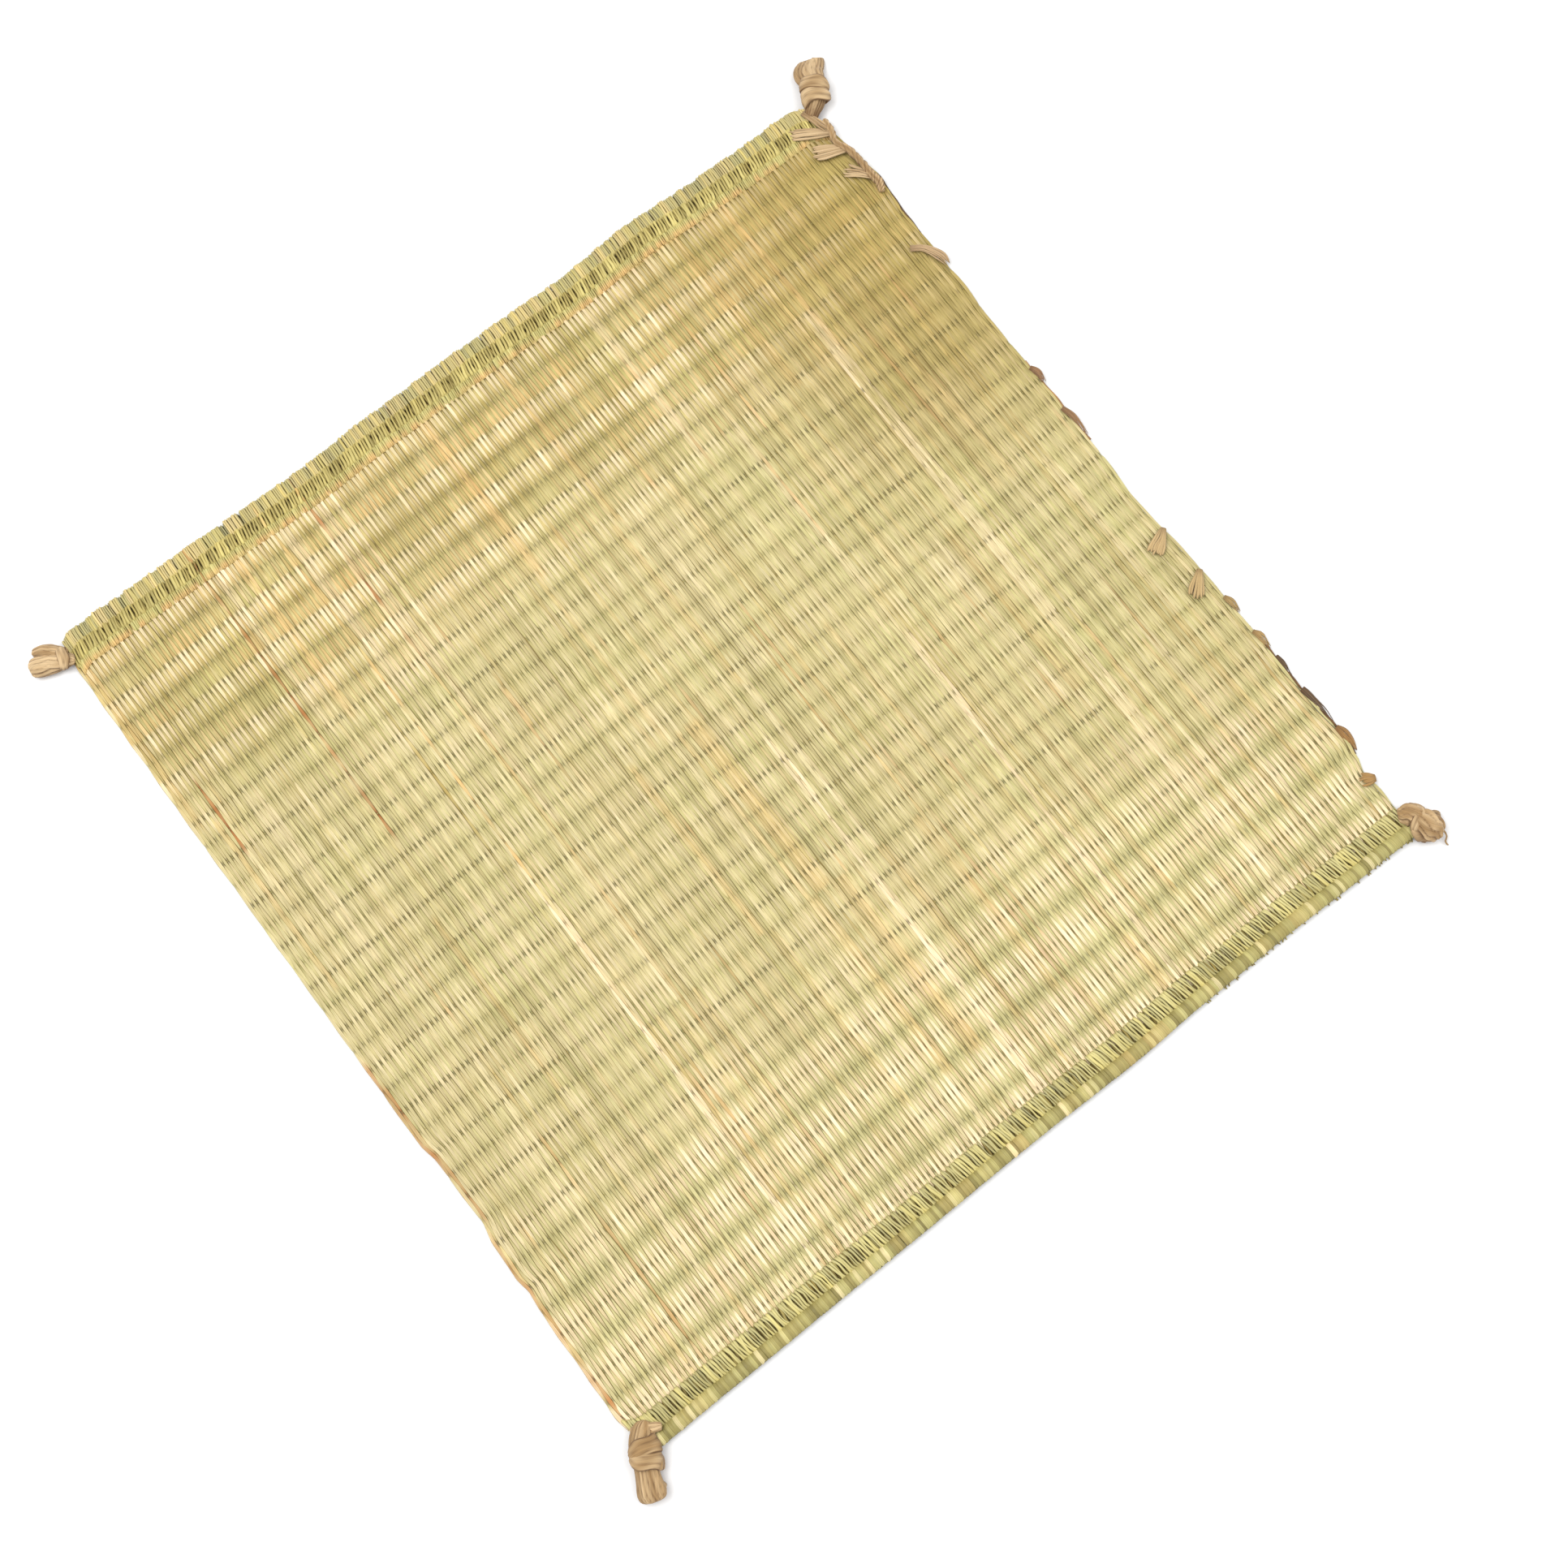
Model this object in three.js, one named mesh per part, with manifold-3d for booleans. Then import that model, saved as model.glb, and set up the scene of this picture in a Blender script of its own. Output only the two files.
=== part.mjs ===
// Hand-woven grass mat with two bound edges, four jute corner knots and a tied edge.
// Millimetres, +Z up. X runs along the bound edges and Y along the grass stems.
// The origin is at the middle of the flat underside.

import * as THREE from 'three';
import { mergeVertices } from 'three/addons/utils/BufferGeometryUtils.js';
import Module from 'manifold-3d';

const wasm = await Module();
wasm.setup();

// Driving dimensions of the mat

const HALF_WIDTH = 296; // middle to corner along X
const HALF_LENGTH = 304.5; // middle to corner along Y
const FIRST_ROW = 16.6; // corner line of the back edge to the first warp cord
const ROW_PITCH = 16.2; // between two warp cords
const ROW_COUNT = 36; // evenly spaced warp cords
const LAST_ROW = 595.2; // corner line of the back edge to the last warp cord
const ROW_HEIGHT = 3.4; // sheet where the grass climbs over a cord
const SPAN_HEIGHT = 2.9; // sheet between two cords
const SWELL = 0.2; // slow unevenness of the face
const SWELL_LENGTH = 46;
const EDGE_SCALLOP = 0.45; // pull of each cord on the outermost stem
const EDGE_LOW = 0.7; // lowest point of the outermost stem
const EDGE_HIGH = 2.3; // highest point of the outermost stem
const EDGE_ROUND = 2.4; // width over which the side edges round off
const EDGE_TUCK = 1.5; // how far the underside stays inside the outermost stem
const RIM_OUT = 10; // usual reach of the bound rims past the corner lines
const RIM_LOW = 1.1; // height at which the rims reach furthest out
const RIM_ROUND = 1.8; // how far the underside of a rim curls up
const CORNER_REACH = 9; // stretch over which a rim draws in towards its knot
const CORNER_DROP = 3; // how far it draws in
const STATIONS = 20; // sections across the width
const FLOOR_POINTS = 20; // points along the flat underside of a section
const GAP = 0.3; // between pieces that touch
const WELD = 1e-4; // points closer than this are one point

// Room that the ties leave round the mat: over its face, past its rims and past its sides.
const SNUG = { face: 0, rim: 0, side: 0 };
const ROOM = { face: 1.5 * GAP, rim: 3 * GAP, side: 4.5 * GAP };

// Borders: `from` is the distance inside the rim and `high` the height there.
const BACK_BORDER = [
  { from: 0, high: 2.6 },
  { from: 0.9, high: 4.3 },
  { from: 4.2, high: 5.6 },
  { from: 9.2, high: 4.9 },
  { from: 11.2, high: 3.9 },
  { from: 13.2, high: 4.9 },
  { from: 16.6, high: 5.1 },
  { from: 19.4, high: 4.5 },
  { from: 20.8, high: 3.6 },
  { from: 23.4, high: 3.2 },
];
const FRONT_BORDER = [
  { from: 0, high: 3.2 },
  { from: 0.7, high: 5.2 },
  { from: 2.4, high: 6.6 },
  { from: 4.9, high: 7.2 },
  { from: 7.4, high: 6.2 },
  { from: 9.2, high: 4.4 },
  { from: 11.2, high: 4.9 },
  { from: 15.2, high: 4.4 },
  { from: 17.2, high: 3.6 },
];

// Outline: `out` is how far an edge stands outside the straight line between its corners.
const BACK_RIM = [
  { at: -300, out: 10.5 },
  { at: -200, out: 9.3 },
  { at: -115, out: 7.4 },
  { at: -55, out: 9.7 },
  { at: 20, out: 10.3 },
  { at: 95, out: 9 },
  { at: 160, out: 12.6 },
  { at: 205, out: 10.4 },
  { at: 255, out: 9.4 },
  { at: 300, out: 9.4 },
];
const FRONT_RIM = [
  { at: -300, out: 14 },
  { at: -240, out: 13 },
  { at: -120, out: 11.7 },
  { at: -5, out: 10.2 },
  { at: 60, out: 10.8 },
  { at: 130, out: 8.7 },
  { at: 190, out: 8 },
  { at: 240, out: 8.8 },
  { at: 296, out: 9 },
];
const LEFT_EDGE = [
  { at: -305, out: 2.5 },
  { at: -285, out: 4.9 },
  { at: -212, out: 4.6 },
  { at: -200, out: 3.2 },
  { at: -190, out: 4.9 },
  { at: -165, out: 3.9 },
  { at: -150, out: 1.4 },
  { at: -105, out: 1.9 },
  { at: -90, out: 4.4 },
  { at: 50, out: 4.6 },
  { at: 285, out: 4.2 },
  { at: 312, out: 1.5 },
];
const RIGHT_EDGE = [
  { at: -305, out: -9 },
  { at: -283, out: -7.6 },
  { at: -265, out: -8 },
  { at: -254, out: -5.2 },
  { at: -240, out: -2.4 },
  { at: -190, out: -3 },
  { at: -160, out: -1.5 },
  { at: -100, out: -0.2 },
  { at: -40, out: -1.8 },
  { at: 0, out: 1 },
  { at: 60, out: 3.2 },
  { at: 110, out: 4.6 },
  { at: 150, out: 7.2 },
  { at: 200, out: 8.6 },
  { at: 240, out: 12.4 },
  { at: 275, out: 9.5 },
  { at: 312, out: 6 },
];

// Hanks of jute: x and y are the middle, `low` the height of the underside, `wide` and
// `high` the full sizes of the oval section.
const ON_MAT = ROW_HEIGHT + GAP; // underside of what lies on the weave
const BACK_RIGHT_CORE = [
  { x: 297.5, y: 299, low: ON_MAT, wide: 8, high: 2.8 },
  { x: 302.5, y: 303, low: 2.4, wide: 11, high: 7 },
  { x: 307.6, y: 307, low: 0.4, wide: 13.6, high: 11.6 },
  { x: 312.6, y: 313.5, low: 0, wide: 16, high: 14 },
  { x: 316.2, y: 320.5, low: 0, wide: 18, high: 12.5 },
  { x: 318.8, y: 327.5, low: 0, wide: 20, high: 9 },
  { x: 323.4, y: 332.6, low: 0, wide: 18.4, high: 6 },
  { x: 326, y: 335.6, low: 0, wide: 16.6, high: 4 },
];
const BACK_LEFT_UPPER_LOBE = [
  { x: -299, y: 300.5, low: 3.6, wide: 6.4, high: 4 },
  { x: -304, y: 306, low: 2.4, wide: 8.4, high: 7.2 },
  { x: -310, y: 311.8, low: 0.6, wide: 9, high: 9 },
  { x: -316.8, y: 315.6, low: 0, wide: 6, high: 6.4 },
];
const BACK_LEFT_LOWER_LOBE = [
  { x: -297, y: 295, low: ON_MAT, wide: 6.8, high: 3 },
  { x: -304, y: 298.6, low: 1.6, wide: 10, high: 8.4 },
  { x: -311, y: 301.6, low: 0.2, wide: 12, high: 10.4 },
  { x: -318.6, y: 305.4, low: 0, wide: 13.6, high: 10 },
  { x: -323.4, y: 307.2, low: 0, wide: 11, high: 8 },
];
const FRONT_LEFT_CORE = [
  { x: -288, y: -300, low: 4.4, wide: 12, high: 3 },
  { x: -295, y: -308, low: 1.8, wide: 16.4, high: 9 },
  { x: -299, y: -315, low: 0, wide: 18.8, high: 14 },
  { x: -302, y: -321, low: 0, wide: 16.4, high: 12.6 },
  { x: -305, y: -327, low: 0, wide: 15.6, high: 11 },
  { x: -308, y: -334, low: 0, wide: 17.6, high: 11.6 },
  { x: -309.5, y: -338, low: 0.4, wide: 13, high: 9 },
];
const FRONT_LEFT_SIDE_LOBE = [
  { x: -297, y: -317.4, low: 2, wide: 7, high: 7 },
  { x: -295.2, y: -322, low: 0.4, wide: 7.6, high: 9.4 },
  { x: -298.4, y: -327.6, low: 1, wide: 6.4, high: 7.6 },
];
const FRONT_LEFT_END_LOBE = [
  { x: -308, y: -331, low: 1, wide: 10, high: 9.2 },
  { x: -304, y: -336, low: 0, wide: 10.8, high: 10.2 },
  { x: -303, y: -338, low: 0.6, wide: 7.2, high: 8 },
];
const FRONT_LEFT_STRAP = [
  { x: -299.2, y: -300.6, low: 3.2, wide: 6, high: 2.8 },
  { x: -292.8, y: -303.6, low: 4.2, wide: 7, high: 3 },
  { x: -285.4, y: -307, low: 5.8, wide: 6, high: 3 },
  { x: -282, y: -309, low: 6.6, wide: 4, high: 2.6 },
];
const FRONT_RIGHT_FIRST_LOBE = [
  { x: 284.4, y: -297, low: ON_MAT, wide: 7.6, high: 3.4 },
  { x: 288.6, y: -299.6, low: 3, wide: 13.2, high: 8.6 },
  { x: 291.8, y: -303, low: 0.6, wide: 14.4, high: 12 },
  { x: 293.4, y: -306.6, low: 0.6, wide: 12.8, high: 11.6 },
];
const FRONT_RIGHT_MAIN_LOBE = [
  { x: 291, y: -305.6, low: 1, wide: 14.4, high: 11.2 },
  { x: 293, y: -310.8, low: 0, wide: 18.8, high: 14.2 },
  { x: 294.6, y: -315, low: 0, wide: 18.6, high: 13.4 },
  { x: 296, y: -318.6, low: 0, wide: 15.2, high: 10.6 },
  { x: 297, y: -321.2, low: 0.4, wide: 10.4, high: 7.2 },
];
const KNOT_SIDES = 10;
const TIE_SIDES = 8;
const STEPS_PER_ROW = 2; // sections from one row of a hank to the next
const END_SCALE = 0.55; // a hank's rounded end against its last section
const END_REACH = 0.6; // how far that end stands out, against the section's half height

// Wraps: rings of fibre round a hank, `turn` its heading and `lean` the tip of the ring in
// degrees, `across` and `tall` the ring's half sizes, `thick` its half width.
const BACK_RIGHT_WRAPS = [
  { x: 311, y: 308.6, z: 7.6, turn: 48, lean: 12, across: 10, tall: 7.2, thick: 2.6 },
  { x: 315, y: 314, z: 8.2, turn: 58, lean: -10, across: 10.8, tall: 7.8, thick: 3 },
  { x: 318.6, y: 320, z: 7.2, turn: 60, lean: 8, across: 10.2, tall: 6.8, thick: 2.6 },
];
const BACK_LEFT_WRAPS = [
  { x: -304.5, y: 299.4, z: 6.6, turn: 148, lean: 6, across: 8.4, tall: 5.6, thick: 2.3 },
];
const FRONT_LEFT_WRAPS = [
  { x: -298.5, y: -313, z: 7.8, turn: -118, lean: 14, across: 10, tall: 7.4, thick: 2.5 },
  { x: -302.5, y: -320.5, z: 7.2, turn: -116, lean: -12, across: 9, tall: 6.8, thick: 2.3 },
];
const FRONT_RIGHT_WRAPS = [
  { x: 292, y: -306.6, z: 7.2, turn: -62, lean: 10, across: 8.6, tall: 6.6, thick: 2.4 },
];
const WRAP_SIDES = 6;
const WRAP_STEPS = 16;
const WRAP_TUBE = 0.3; // tube against ring before a wrap is stretched to its sizes

// The twisted cord on the tied edge, and its three flattened tie ends.
const EDGE_CORD = [
  { x: 304.9, y: 293.6, low: 3.9, wide: 3.4, high: 3.4 },
  { x: 303.7, y: 284.5, low: 4, wide: 4.6, high: 4 },
  { x: 300.7, y: 275.5, low: 4, wide: 4.2, high: 4 },
  { x: 303.7, y: 265.5, low: 4, wide: 5, high: 4.2 },
  { x: 304.7, y: 253.5, low: 4, wide: 4.6, high: 4 },
  { x: 304.3, y: 241.5, low: 4, wide: 5.2, high: 4.2 },
  { x: 304.9, y: 234, low: 3.9, wide: 5.2, high: 3.8 },
  { x: 302.1, y: 227.5, low: 3.8, wide: 3.6, high: 2.4 },
];
const EDGE_CORD_FANS = [
  [
    { x: 303.6, y: 282, low: 4.2, wide: 4.4, high: 3.4 },
    { x: 292, y: 290.5, low: 3.9, wide: 8, high: 2.6 },
    { x: 281.5, y: 297.5, low: 4.6, wide: 9.2, high: 1.6 },
  ],
  [
    { x: 304.5, y: 266.5, low: 4.2, wide: 4.4, high: 3.4 },
    { x: 294, y: 272.5, low: 3.8, wide: 8.8, high: 2.6 },
    { x: 285.5, y: 277, low: 3.8, wide: 11.2, high: 1.6 },
  ],
  [
    { x: 305.6, y: 238.5, low: 4.2, wide: 4.4, high: 3.4 },
    { x: 300.5, y: 247, low: 3.8, wide: 6, high: 2.6 },
    { x: 294, y: 254.5, low: 3.8, wide: 8.8, high: 1.6 },
  ],
];

// Ends of single warp cords, from the back corner to the front corner. Some lie on the mat
// and open like a fan, and the others are pressed flat beside its edge.
const EDGE_TIES = [
  [
    { x: 291, y: 184, low: 3.8, wide: 4, high: 1.6 },
    { x: 298, y: 178.5, low: 3.8, wide: 4.4, high: 2.6 },
    { x: 303, y: 168, low: 3.4, wide: 6.4, high: 4 },
    { x: 303.6, y: 162, low: 3, wide: 4, high: 2.4 },
  ],
  [
    { x: 298.6, y: 70, low: 2.2, wide: 2.8, high: 2.8 },
    { x: 300.6, y: 64.5, low: 1, wide: 4, high: 4.4 },
    { x: 299.4, y: 58, low: 1.2, wide: 2.4, high: 2.8 },
  ],
  [
    { x: 296.8, y: 35.5, low: 2.4, wide: 3.2, high: 2.8 },
    { x: 298.6, y: 28, low: 1, wide: 3.8, high: 4.4 },
    { x: 299, y: 20, low: 0.8, wide: 3.2, high: 3.2 },
    { x: 297.6, y: 13, low: 0.8, wide: 1.8, high: 2 },
  ],
  [
    { x: 294.2, y: -67.5, low: 3.6, wide: 3.4, high: 2.4 },
    { x: 286.5, y: -72.8, low: 3.7, wide: 8.4, high: 2.2 },
    { x: 279, y: -77, low: 3.7, wide: 12.4, high: 1.6 },
  ],
  [
    { x: 294, y: -102.5, low: 3.6, wide: 3.4, high: 2.4 },
    { x: 287.5, y: -108, low: 3.7, wide: 7.6, high: 2.2 },
    { x: 280.5, y: -114, low: 3.7, wide: 10.8, high: 1.6 },
  ],
  [
    { x: 294.3, y: -125.3, low: 2.4, wide: 2.4, high: 2 },
    { x: 296, y: -131, low: 0.8, wide: 4.4, high: 3.4 },
    { x: 295.9, y: -137, low: 0.8, wide: 2.4, high: 2 },
  ],
  [
    { x: 293.6, y: -153.6, low: 2.4, wide: 2.4, high: 2 },
    { x: 295.4, y: -159.2, low: 0.8, wide: 4.6, high: 3.4 },
    { x: 295.2, y: -166.4, low: 0.8, wide: 2.4, high: 2 },
  ],
  [
    { x: 294.8, y: -174.5, low: 1, wide: 2.4, high: 2 },
    { x: 294.8, y: -181, low: 0.6, wide: 3.4, high: 2.8 },
    { x: 293.9, y: -187.5, low: 0.6, wide: 2, high: 1.8 },
  ],
  [
    { x: 293, y: -200.4, low: 1.4, wide: 3.6, high: 2.8 },
    { x: 294, y: -207.5, low: 0.6, wide: 3.8, high: 3.4 },
    { x: 294.2, y: -218, low: 0.6, wide: 2.8, high: 2.4 },
    { x: 293.9, y: -227, low: 0.6, wide: 2, high: 1.8 },
  ],
  [
    { x: 293.4, y: -231.8, low: 1, wide: 3.2, high: 2.4 },
    { x: 294.6, y: -237.2, low: 0.6, wide: 6, high: 3 },
    { x: 294.4, y: -244, low: 0.6, wide: 5.2, high: 2.4 },
    { x: 293, y: -249.8, low: 0.6, wide: 2.6, high: 1.6 },
  ],
  [
    { x: 290, y: -271, low: 3, wide: 4, high: 2.6 },
    { x: 286.4, y: -269.2, low: 3.7, wide: 7.2, high: 2.4 },
    { x: 282.6, y: -267.4, low: 3.7, wide: 8, high: 1.6 },
  ],
];

// Finishes

const GRASS = { color: 0xd9cc8e, roughness: 0.6, metalness: 0 };
const JUTE = { color: 0xc9a777, roughness: 0.85, metalness: 0 };

// Outline and face of the mat

const ROWS = [...Array.from({ length: ROW_COUNT }, (_, k) => FIRST_ROW + k * ROW_PITCH), LAST_ROW];

// The `out` of an outline table at a place, eased from row to row.
function outAt(table, place) {
  if (place <= table[0].at) return table[0].out;
  const next = table.findIndex((row) => row.at > place);
  if (next < 0) return table[table.length - 1].out;
  const [from, to] = [table[next - 1], table[next]];
  const share = (place - from.at) / (to.at - from.at);
  return THREE.MathUtils.lerp(from.out, to.out, THREE.MathUtils.smoothstep(share, 0, 1));
}

// How far a rim stands out of its usual line: it draws in where it nears a corner.
function rimWave(table, x) {
  const near = Math.max(0, Math.abs(x) - (HALF_WIDTH - CORNER_REACH)) / CORNER_REACH;
  return outAt(table, x) - RIM_OUT - CORNER_DROP * near * near;
}

// The side edges at a place along the grass: the cords pull the outermost stems in.
function sideEdges(y) {
  const row = (HALF_LENGTH - y - FIRST_ROW) / ROW_PITCH;
  const scallop = EDGE_SCALLOP * Math.cos(2 * Math.PI * row);
  return [-HALF_WIDTH - outAt(LEFT_EDGE, y) + scallop, HALF_WIDTH + outAt(RIGHT_EDGE, y) - scallop];
}

// Points of one border on its usual line. `follow` is 1 at the rim, 0 where the weave starts.
function border(table, outward, rim) {
  const { from: whole } = table[table.length - 1];
  return table.map(({ from, high }) => ({
    y: outward * (HALF_LENGTH + RIM_OUT - from),
    high,
    follow: outward * (1 - from / whole),
    rim,
  }));
}

// The face along the grass, from the front rim to the back rim, with a ridge at each cord.
function faceLine() {
  const ridges = ROWS.map((row) => ({ y: HALF_LENGTH - row, high: ROW_HEIGHT }));
  const hollows = ROWS.slice(1).map((row, k) => ({
    y: HALF_LENGTH - (row + ROWS[k]) / 2,
    high: SPAN_HEIGHT,
  }));
  const weave = [...ridges, ...hollows].sort((a, b) => a.y - b.y);
  return [
    ...border(FRONT_BORDER, -1, FRONT_RIM),
    ...weave.map((point) => ({ ...point, follow: 0, rim: BACK_RIM })),
    ...border(BACK_BORDER, 1, BACK_RIM).reverse(),
  ];
}

const FACE_LINE = faceLine();

// One section of the mat. `share` runs from 0 at the left edge to 1 at the right edge,
// `fullness` is 0 at the rounded side edges, and `room` swells the section all round.
function matSection(share, fullness, room) {
  const outermost = { 0: -1, 1: 1 }[share] ?? 0;
  const across = (y) => THREE.MathUtils.lerp(...sideEdges(y), share) + outermost * room.side;
  const face = FACE_LINE.map(({ y: usual, high, follow, rim }) => {
    const x = across(usual);
    const y = usual + follow * rimWave(rim, x) + Math.trunc(follow) * room.rim;
    const swell = (1 - Math.abs(follow)) * SWELL * Math.sin(x / SWELL_LENGTH + y / SWELL_LENGTH);
    const low = Math.min(EDGE_HIGH, high);
    const z = THREE.MathUtils.lerp(low, high + swell, fullness) + room.face;
    return new THREE.Vector3(x, y, z);
  });
  const [front, back] = [face[0], face[face.length - 1]];
  const lip = ({ x, y }) => new THREE.Vector3(x, y, RIM_LOW - room.face);
  const floorHeight = THREE.MathUtils.lerp(EDGE_LOW, 0, fullness) - room.face;
  const tuck = EDGE_TUCK * (1 - fullness) * Math.sign(0.5 - share);
  const floor = Array.from({ length: FLOOR_POINTS }, (_, k) => {
    const y = THREE.MathUtils.lerp(back.y - RIM_ROUND, front.y + RIM_ROUND, k / (FLOOR_POINTS - 1));
    return new THREE.Vector3(across(y) + tuck, y, floorHeight);
  });
  return [...face, lip(back), ...floor, lip(front)];
}

// Skins

// A closed skin over a row of rings with equally many points, its ends closed by `cap`,
// which gives the triangles over one ring, each in the order in which the ring runs.
function skin(rings, cap) {
  const size = rings[0].length;
  const last = (rings.length - 1) * size;
  const index = [];
  for (let start = 0; start < last; start += size) {
    for (let side = 0; side < size; side += 1) {
      const [a, b] = [start + side, start + ((side + 1) % size)];
      index.push(a, b, a + size, b, b + size, a + size);
    }
  }
  for (const [a, b, c] of cap(rings[0])) index.push(a, c, b);
  for (const [a, b, c] of cap(rings[rings.length - 1])) index.push(last + a, last + b, last + c);
  const geometry = new THREE.BufferGeometry();
  const places = rings.flat().flatMap((point) => point.toArray());
  geometry.setAttribute('position', new THREE.Float32BufferAttribute(places, 3));
  geometry.setIndex(index);
  return facingOut(geometry);
}

// Turns a closed geometry's faces outwards where its volume comes out negative.
function facingOut(geometry) {
  const place = geometry.getAttribute('position');
  const index = geometry.getIndex();
  const [a, b, c] = [new THREE.Vector3(), new THREE.Vector3(), new THREE.Vector3()];
  let volume = 0;
  for (let face = 0; face < index.count; face += 3) {
    a.fromBufferAttribute(place, index.getX(face));
    b.fromBufferAttribute(place, index.getX(face + 1));
    c.fromBufferAttribute(place, index.getX(face + 2));
    volume += a.dot(b.cross(c));
  }
  if (volume < 0) geometry.setIndex(Array.from(index.array).reverse());
  return geometry;
}

// The triangles of a side face: a strip between the face line above and the floor below,
// which runs back along the ring.
function sideFace(ring) {
  const faces = [];
  let above = 0;
  let below = ring.length - 1;
  while (below - above > 1) {
    const stepAbove = above + 1 < FACE_LINE.length && ring[above + 1].y <= ring[below - 1].y;
    faces.push([above, stepAbove ? above + 1 : below - 1, below]);
    if (stepAbove) above += 1;
    else below -= 1;
  }
  return faces;
}

function matGeometry(room) {
  const round = EDGE_ROUND / (2 * HALF_WIDTH);
  const inner = Array.from({ length: STATIONS }, (_, k) =>
    THREE.MathUtils.lerp(round, 1 - round, k / (STATIONS - 1)),
  );
  const rings = [
    matSection(0, 0, room),
    ...inner.map((share) => matSection(share, 1, room)),
    matSection(1, 0, room),
  ];
  return skin(rings, sideFace);
}

// A hank of fibre: an oval section that follows a smooth line through the table's rows and
// is pressed flat where it meets the floor.
function hankGeometry(rows, sides) {
  const line = new THREE.CatmullRomCurve3(
    rows.map(({ x, y, low, high }) => new THREE.Vector3(x, y, low + high / 2)),
  );
  const sizes = new THREE.CatmullRomCurve3(
    rows.map(({ wide, high }) => new THREE.Vector3(wide / 2, high / 2, 0)),
  );
  const ring = (t, scale, reach) => {
    const ahead = line.getTangent(t);
    const aside = new THREE.Vector3(ahead.y, -ahead.x, 0).normalize();
    const up = new THREE.Vector3().crossVectors(aside, ahead);
    const half = sizes.getPoint(t);
    const middle = line.getPoint(t).addScaledVector(ahead, reach * half.y);
    return Array.from({ length: sides }, (_, k) => {
      const angle = (2 * Math.PI * k) / sides;
      const point = middle
        .clone()
        .addScaledVector(aside, scale * half.x * Math.cos(angle))
        .addScaledVector(up, scale * half.y * Math.sin(angle));
      return point.setZ(Math.max(0, point.z));
    });
  };
  const steps = STEPS_PER_ROW * (rows.length - 1);
  const rings = [
    ring(0, END_SCALE, -END_REACH),
    ...Array.from({ length: steps + 1 }, (_, k) => ring(k / steps, 1, 0)),
    ring(1, END_SCALE, END_REACH),
  ];
  const fan = () => Array.from({ length: sides - 2 }, (_, k) => [0, k + 1, k + 2]);
  return skin(rings, fan);
}

// A wrap: a ring stretched to its sizes, tipped and turned round its hank.
function wrapGeometry({ x, y, z, turn, lean, across, tall, thick }) {
  const ring = new THREE.TorusGeometry(1, WRAP_TUBE, WRAP_SIDES, WRAP_STEPS);
  const reach = 1 + WRAP_TUBE;
  ring.scale(across / reach, tall / reach, thick / WRAP_TUBE);
  ring.rotateX(Math.PI / 2);
  ring.rotateZ(THREE.MathUtils.degToRad(turn + lean + 90));
  ring.translate(x, y, z);
  return ring;
}

// Solids to join and cut

function solid(geometry) {
  const bare = geometry.clone();
  bare.deleteAttribute('normal');
  bare.deleteAttribute('uv');
  const merged = mergeVertices(bare, WELD);
  const vertProperties = new Float32Array(merged.getAttribute('position').array);
  const triVerts = new Uint32Array(merged.getIndex().array);
  return new wasm.Manifold(new wasm.Mesh({ numProp: 3, vertProperties, triVerts }));
}

function geometryOf(body) {
  const { vertProperties, triVerts } = body.getMesh();
  const geometry = new THREE.BufferGeometry();
  geometry.setAttribute('position', new THREE.Float32BufferAttribute(vertProperties, 3));
  geometry.setIndex(Array.from(triVerts));
  return geometry;
}

const MAT_WITH_ROOM = solid(matGeometry(ROOM));

// Joins the hanks and wraps of one piece and keeps it a gap away from the mat.
function tied(hanks, wraps, sides) {
  const parts = [
    ...hanks.map((rows) => hankGeometry(rows, sides)),
    ...wraps.map((wrap) => wrapGeometry(wrap)),
  ].map(solid);
  const whole = parts.reduce((joined, part) => joined.add(part));
  return geometryOf(whole.subtract(MAT_WITH_ROOM));
}

// The mat and its ties

const mat = new THREE.Group();
mat.name = 'grass_mat';

function place(name, geometry, finish) {
  const mesh = new THREE.Mesh(geometry, new THREE.MeshStandardMaterial(finish));
  mesh.name = name;
  mat.add(mesh);
}

place('mat', matGeometry(SNUG), GRASS);
place('corner_knot_back_right', tied([BACK_RIGHT_CORE], BACK_RIGHT_WRAPS, KNOT_SIDES), JUTE);
place(
  'corner_knot_back_left',
  tied([BACK_LEFT_UPPER_LOBE, BACK_LEFT_LOWER_LOBE], BACK_LEFT_WRAPS, KNOT_SIDES),
  JUTE,
);
place(
  'corner_knot_front_left',
  tied(
    [FRONT_LEFT_CORE, FRONT_LEFT_SIDE_LOBE, FRONT_LEFT_END_LOBE, FRONT_LEFT_STRAP],
    FRONT_LEFT_WRAPS,
    KNOT_SIDES,
  ),
  JUTE,
);
place(
  'corner_knot_front_right',
  tied([FRONT_RIGHT_FIRST_LOBE, FRONT_RIGHT_MAIN_LOBE], FRONT_RIGHT_WRAPS, KNOT_SIDES),
  JUTE,
);
place('edge_cord', tied([EDGE_CORD, ...EDGE_CORD_FANS], [], TIE_SIDES), JUTE);
EDGE_TIES.forEach((rows, k) => {
  place(`edge_tie_${String(k + 1).padStart(2, '0')}`, tied([rows], [], TIE_SIDES), JUTE);
});

export default mat;
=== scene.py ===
"""Hand-woven grass mat with two bound edges, four jute corner knots and a tied edge.

Everything is worked out in millimetres and goes into the meshes in metres. X runs along the
bound edges, Y along the grass stems, and the flat underside lies on z = 0.
"""

from types import SimpleNamespace

import bpy
import numpy as np
from mathutils import Matrix


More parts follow.
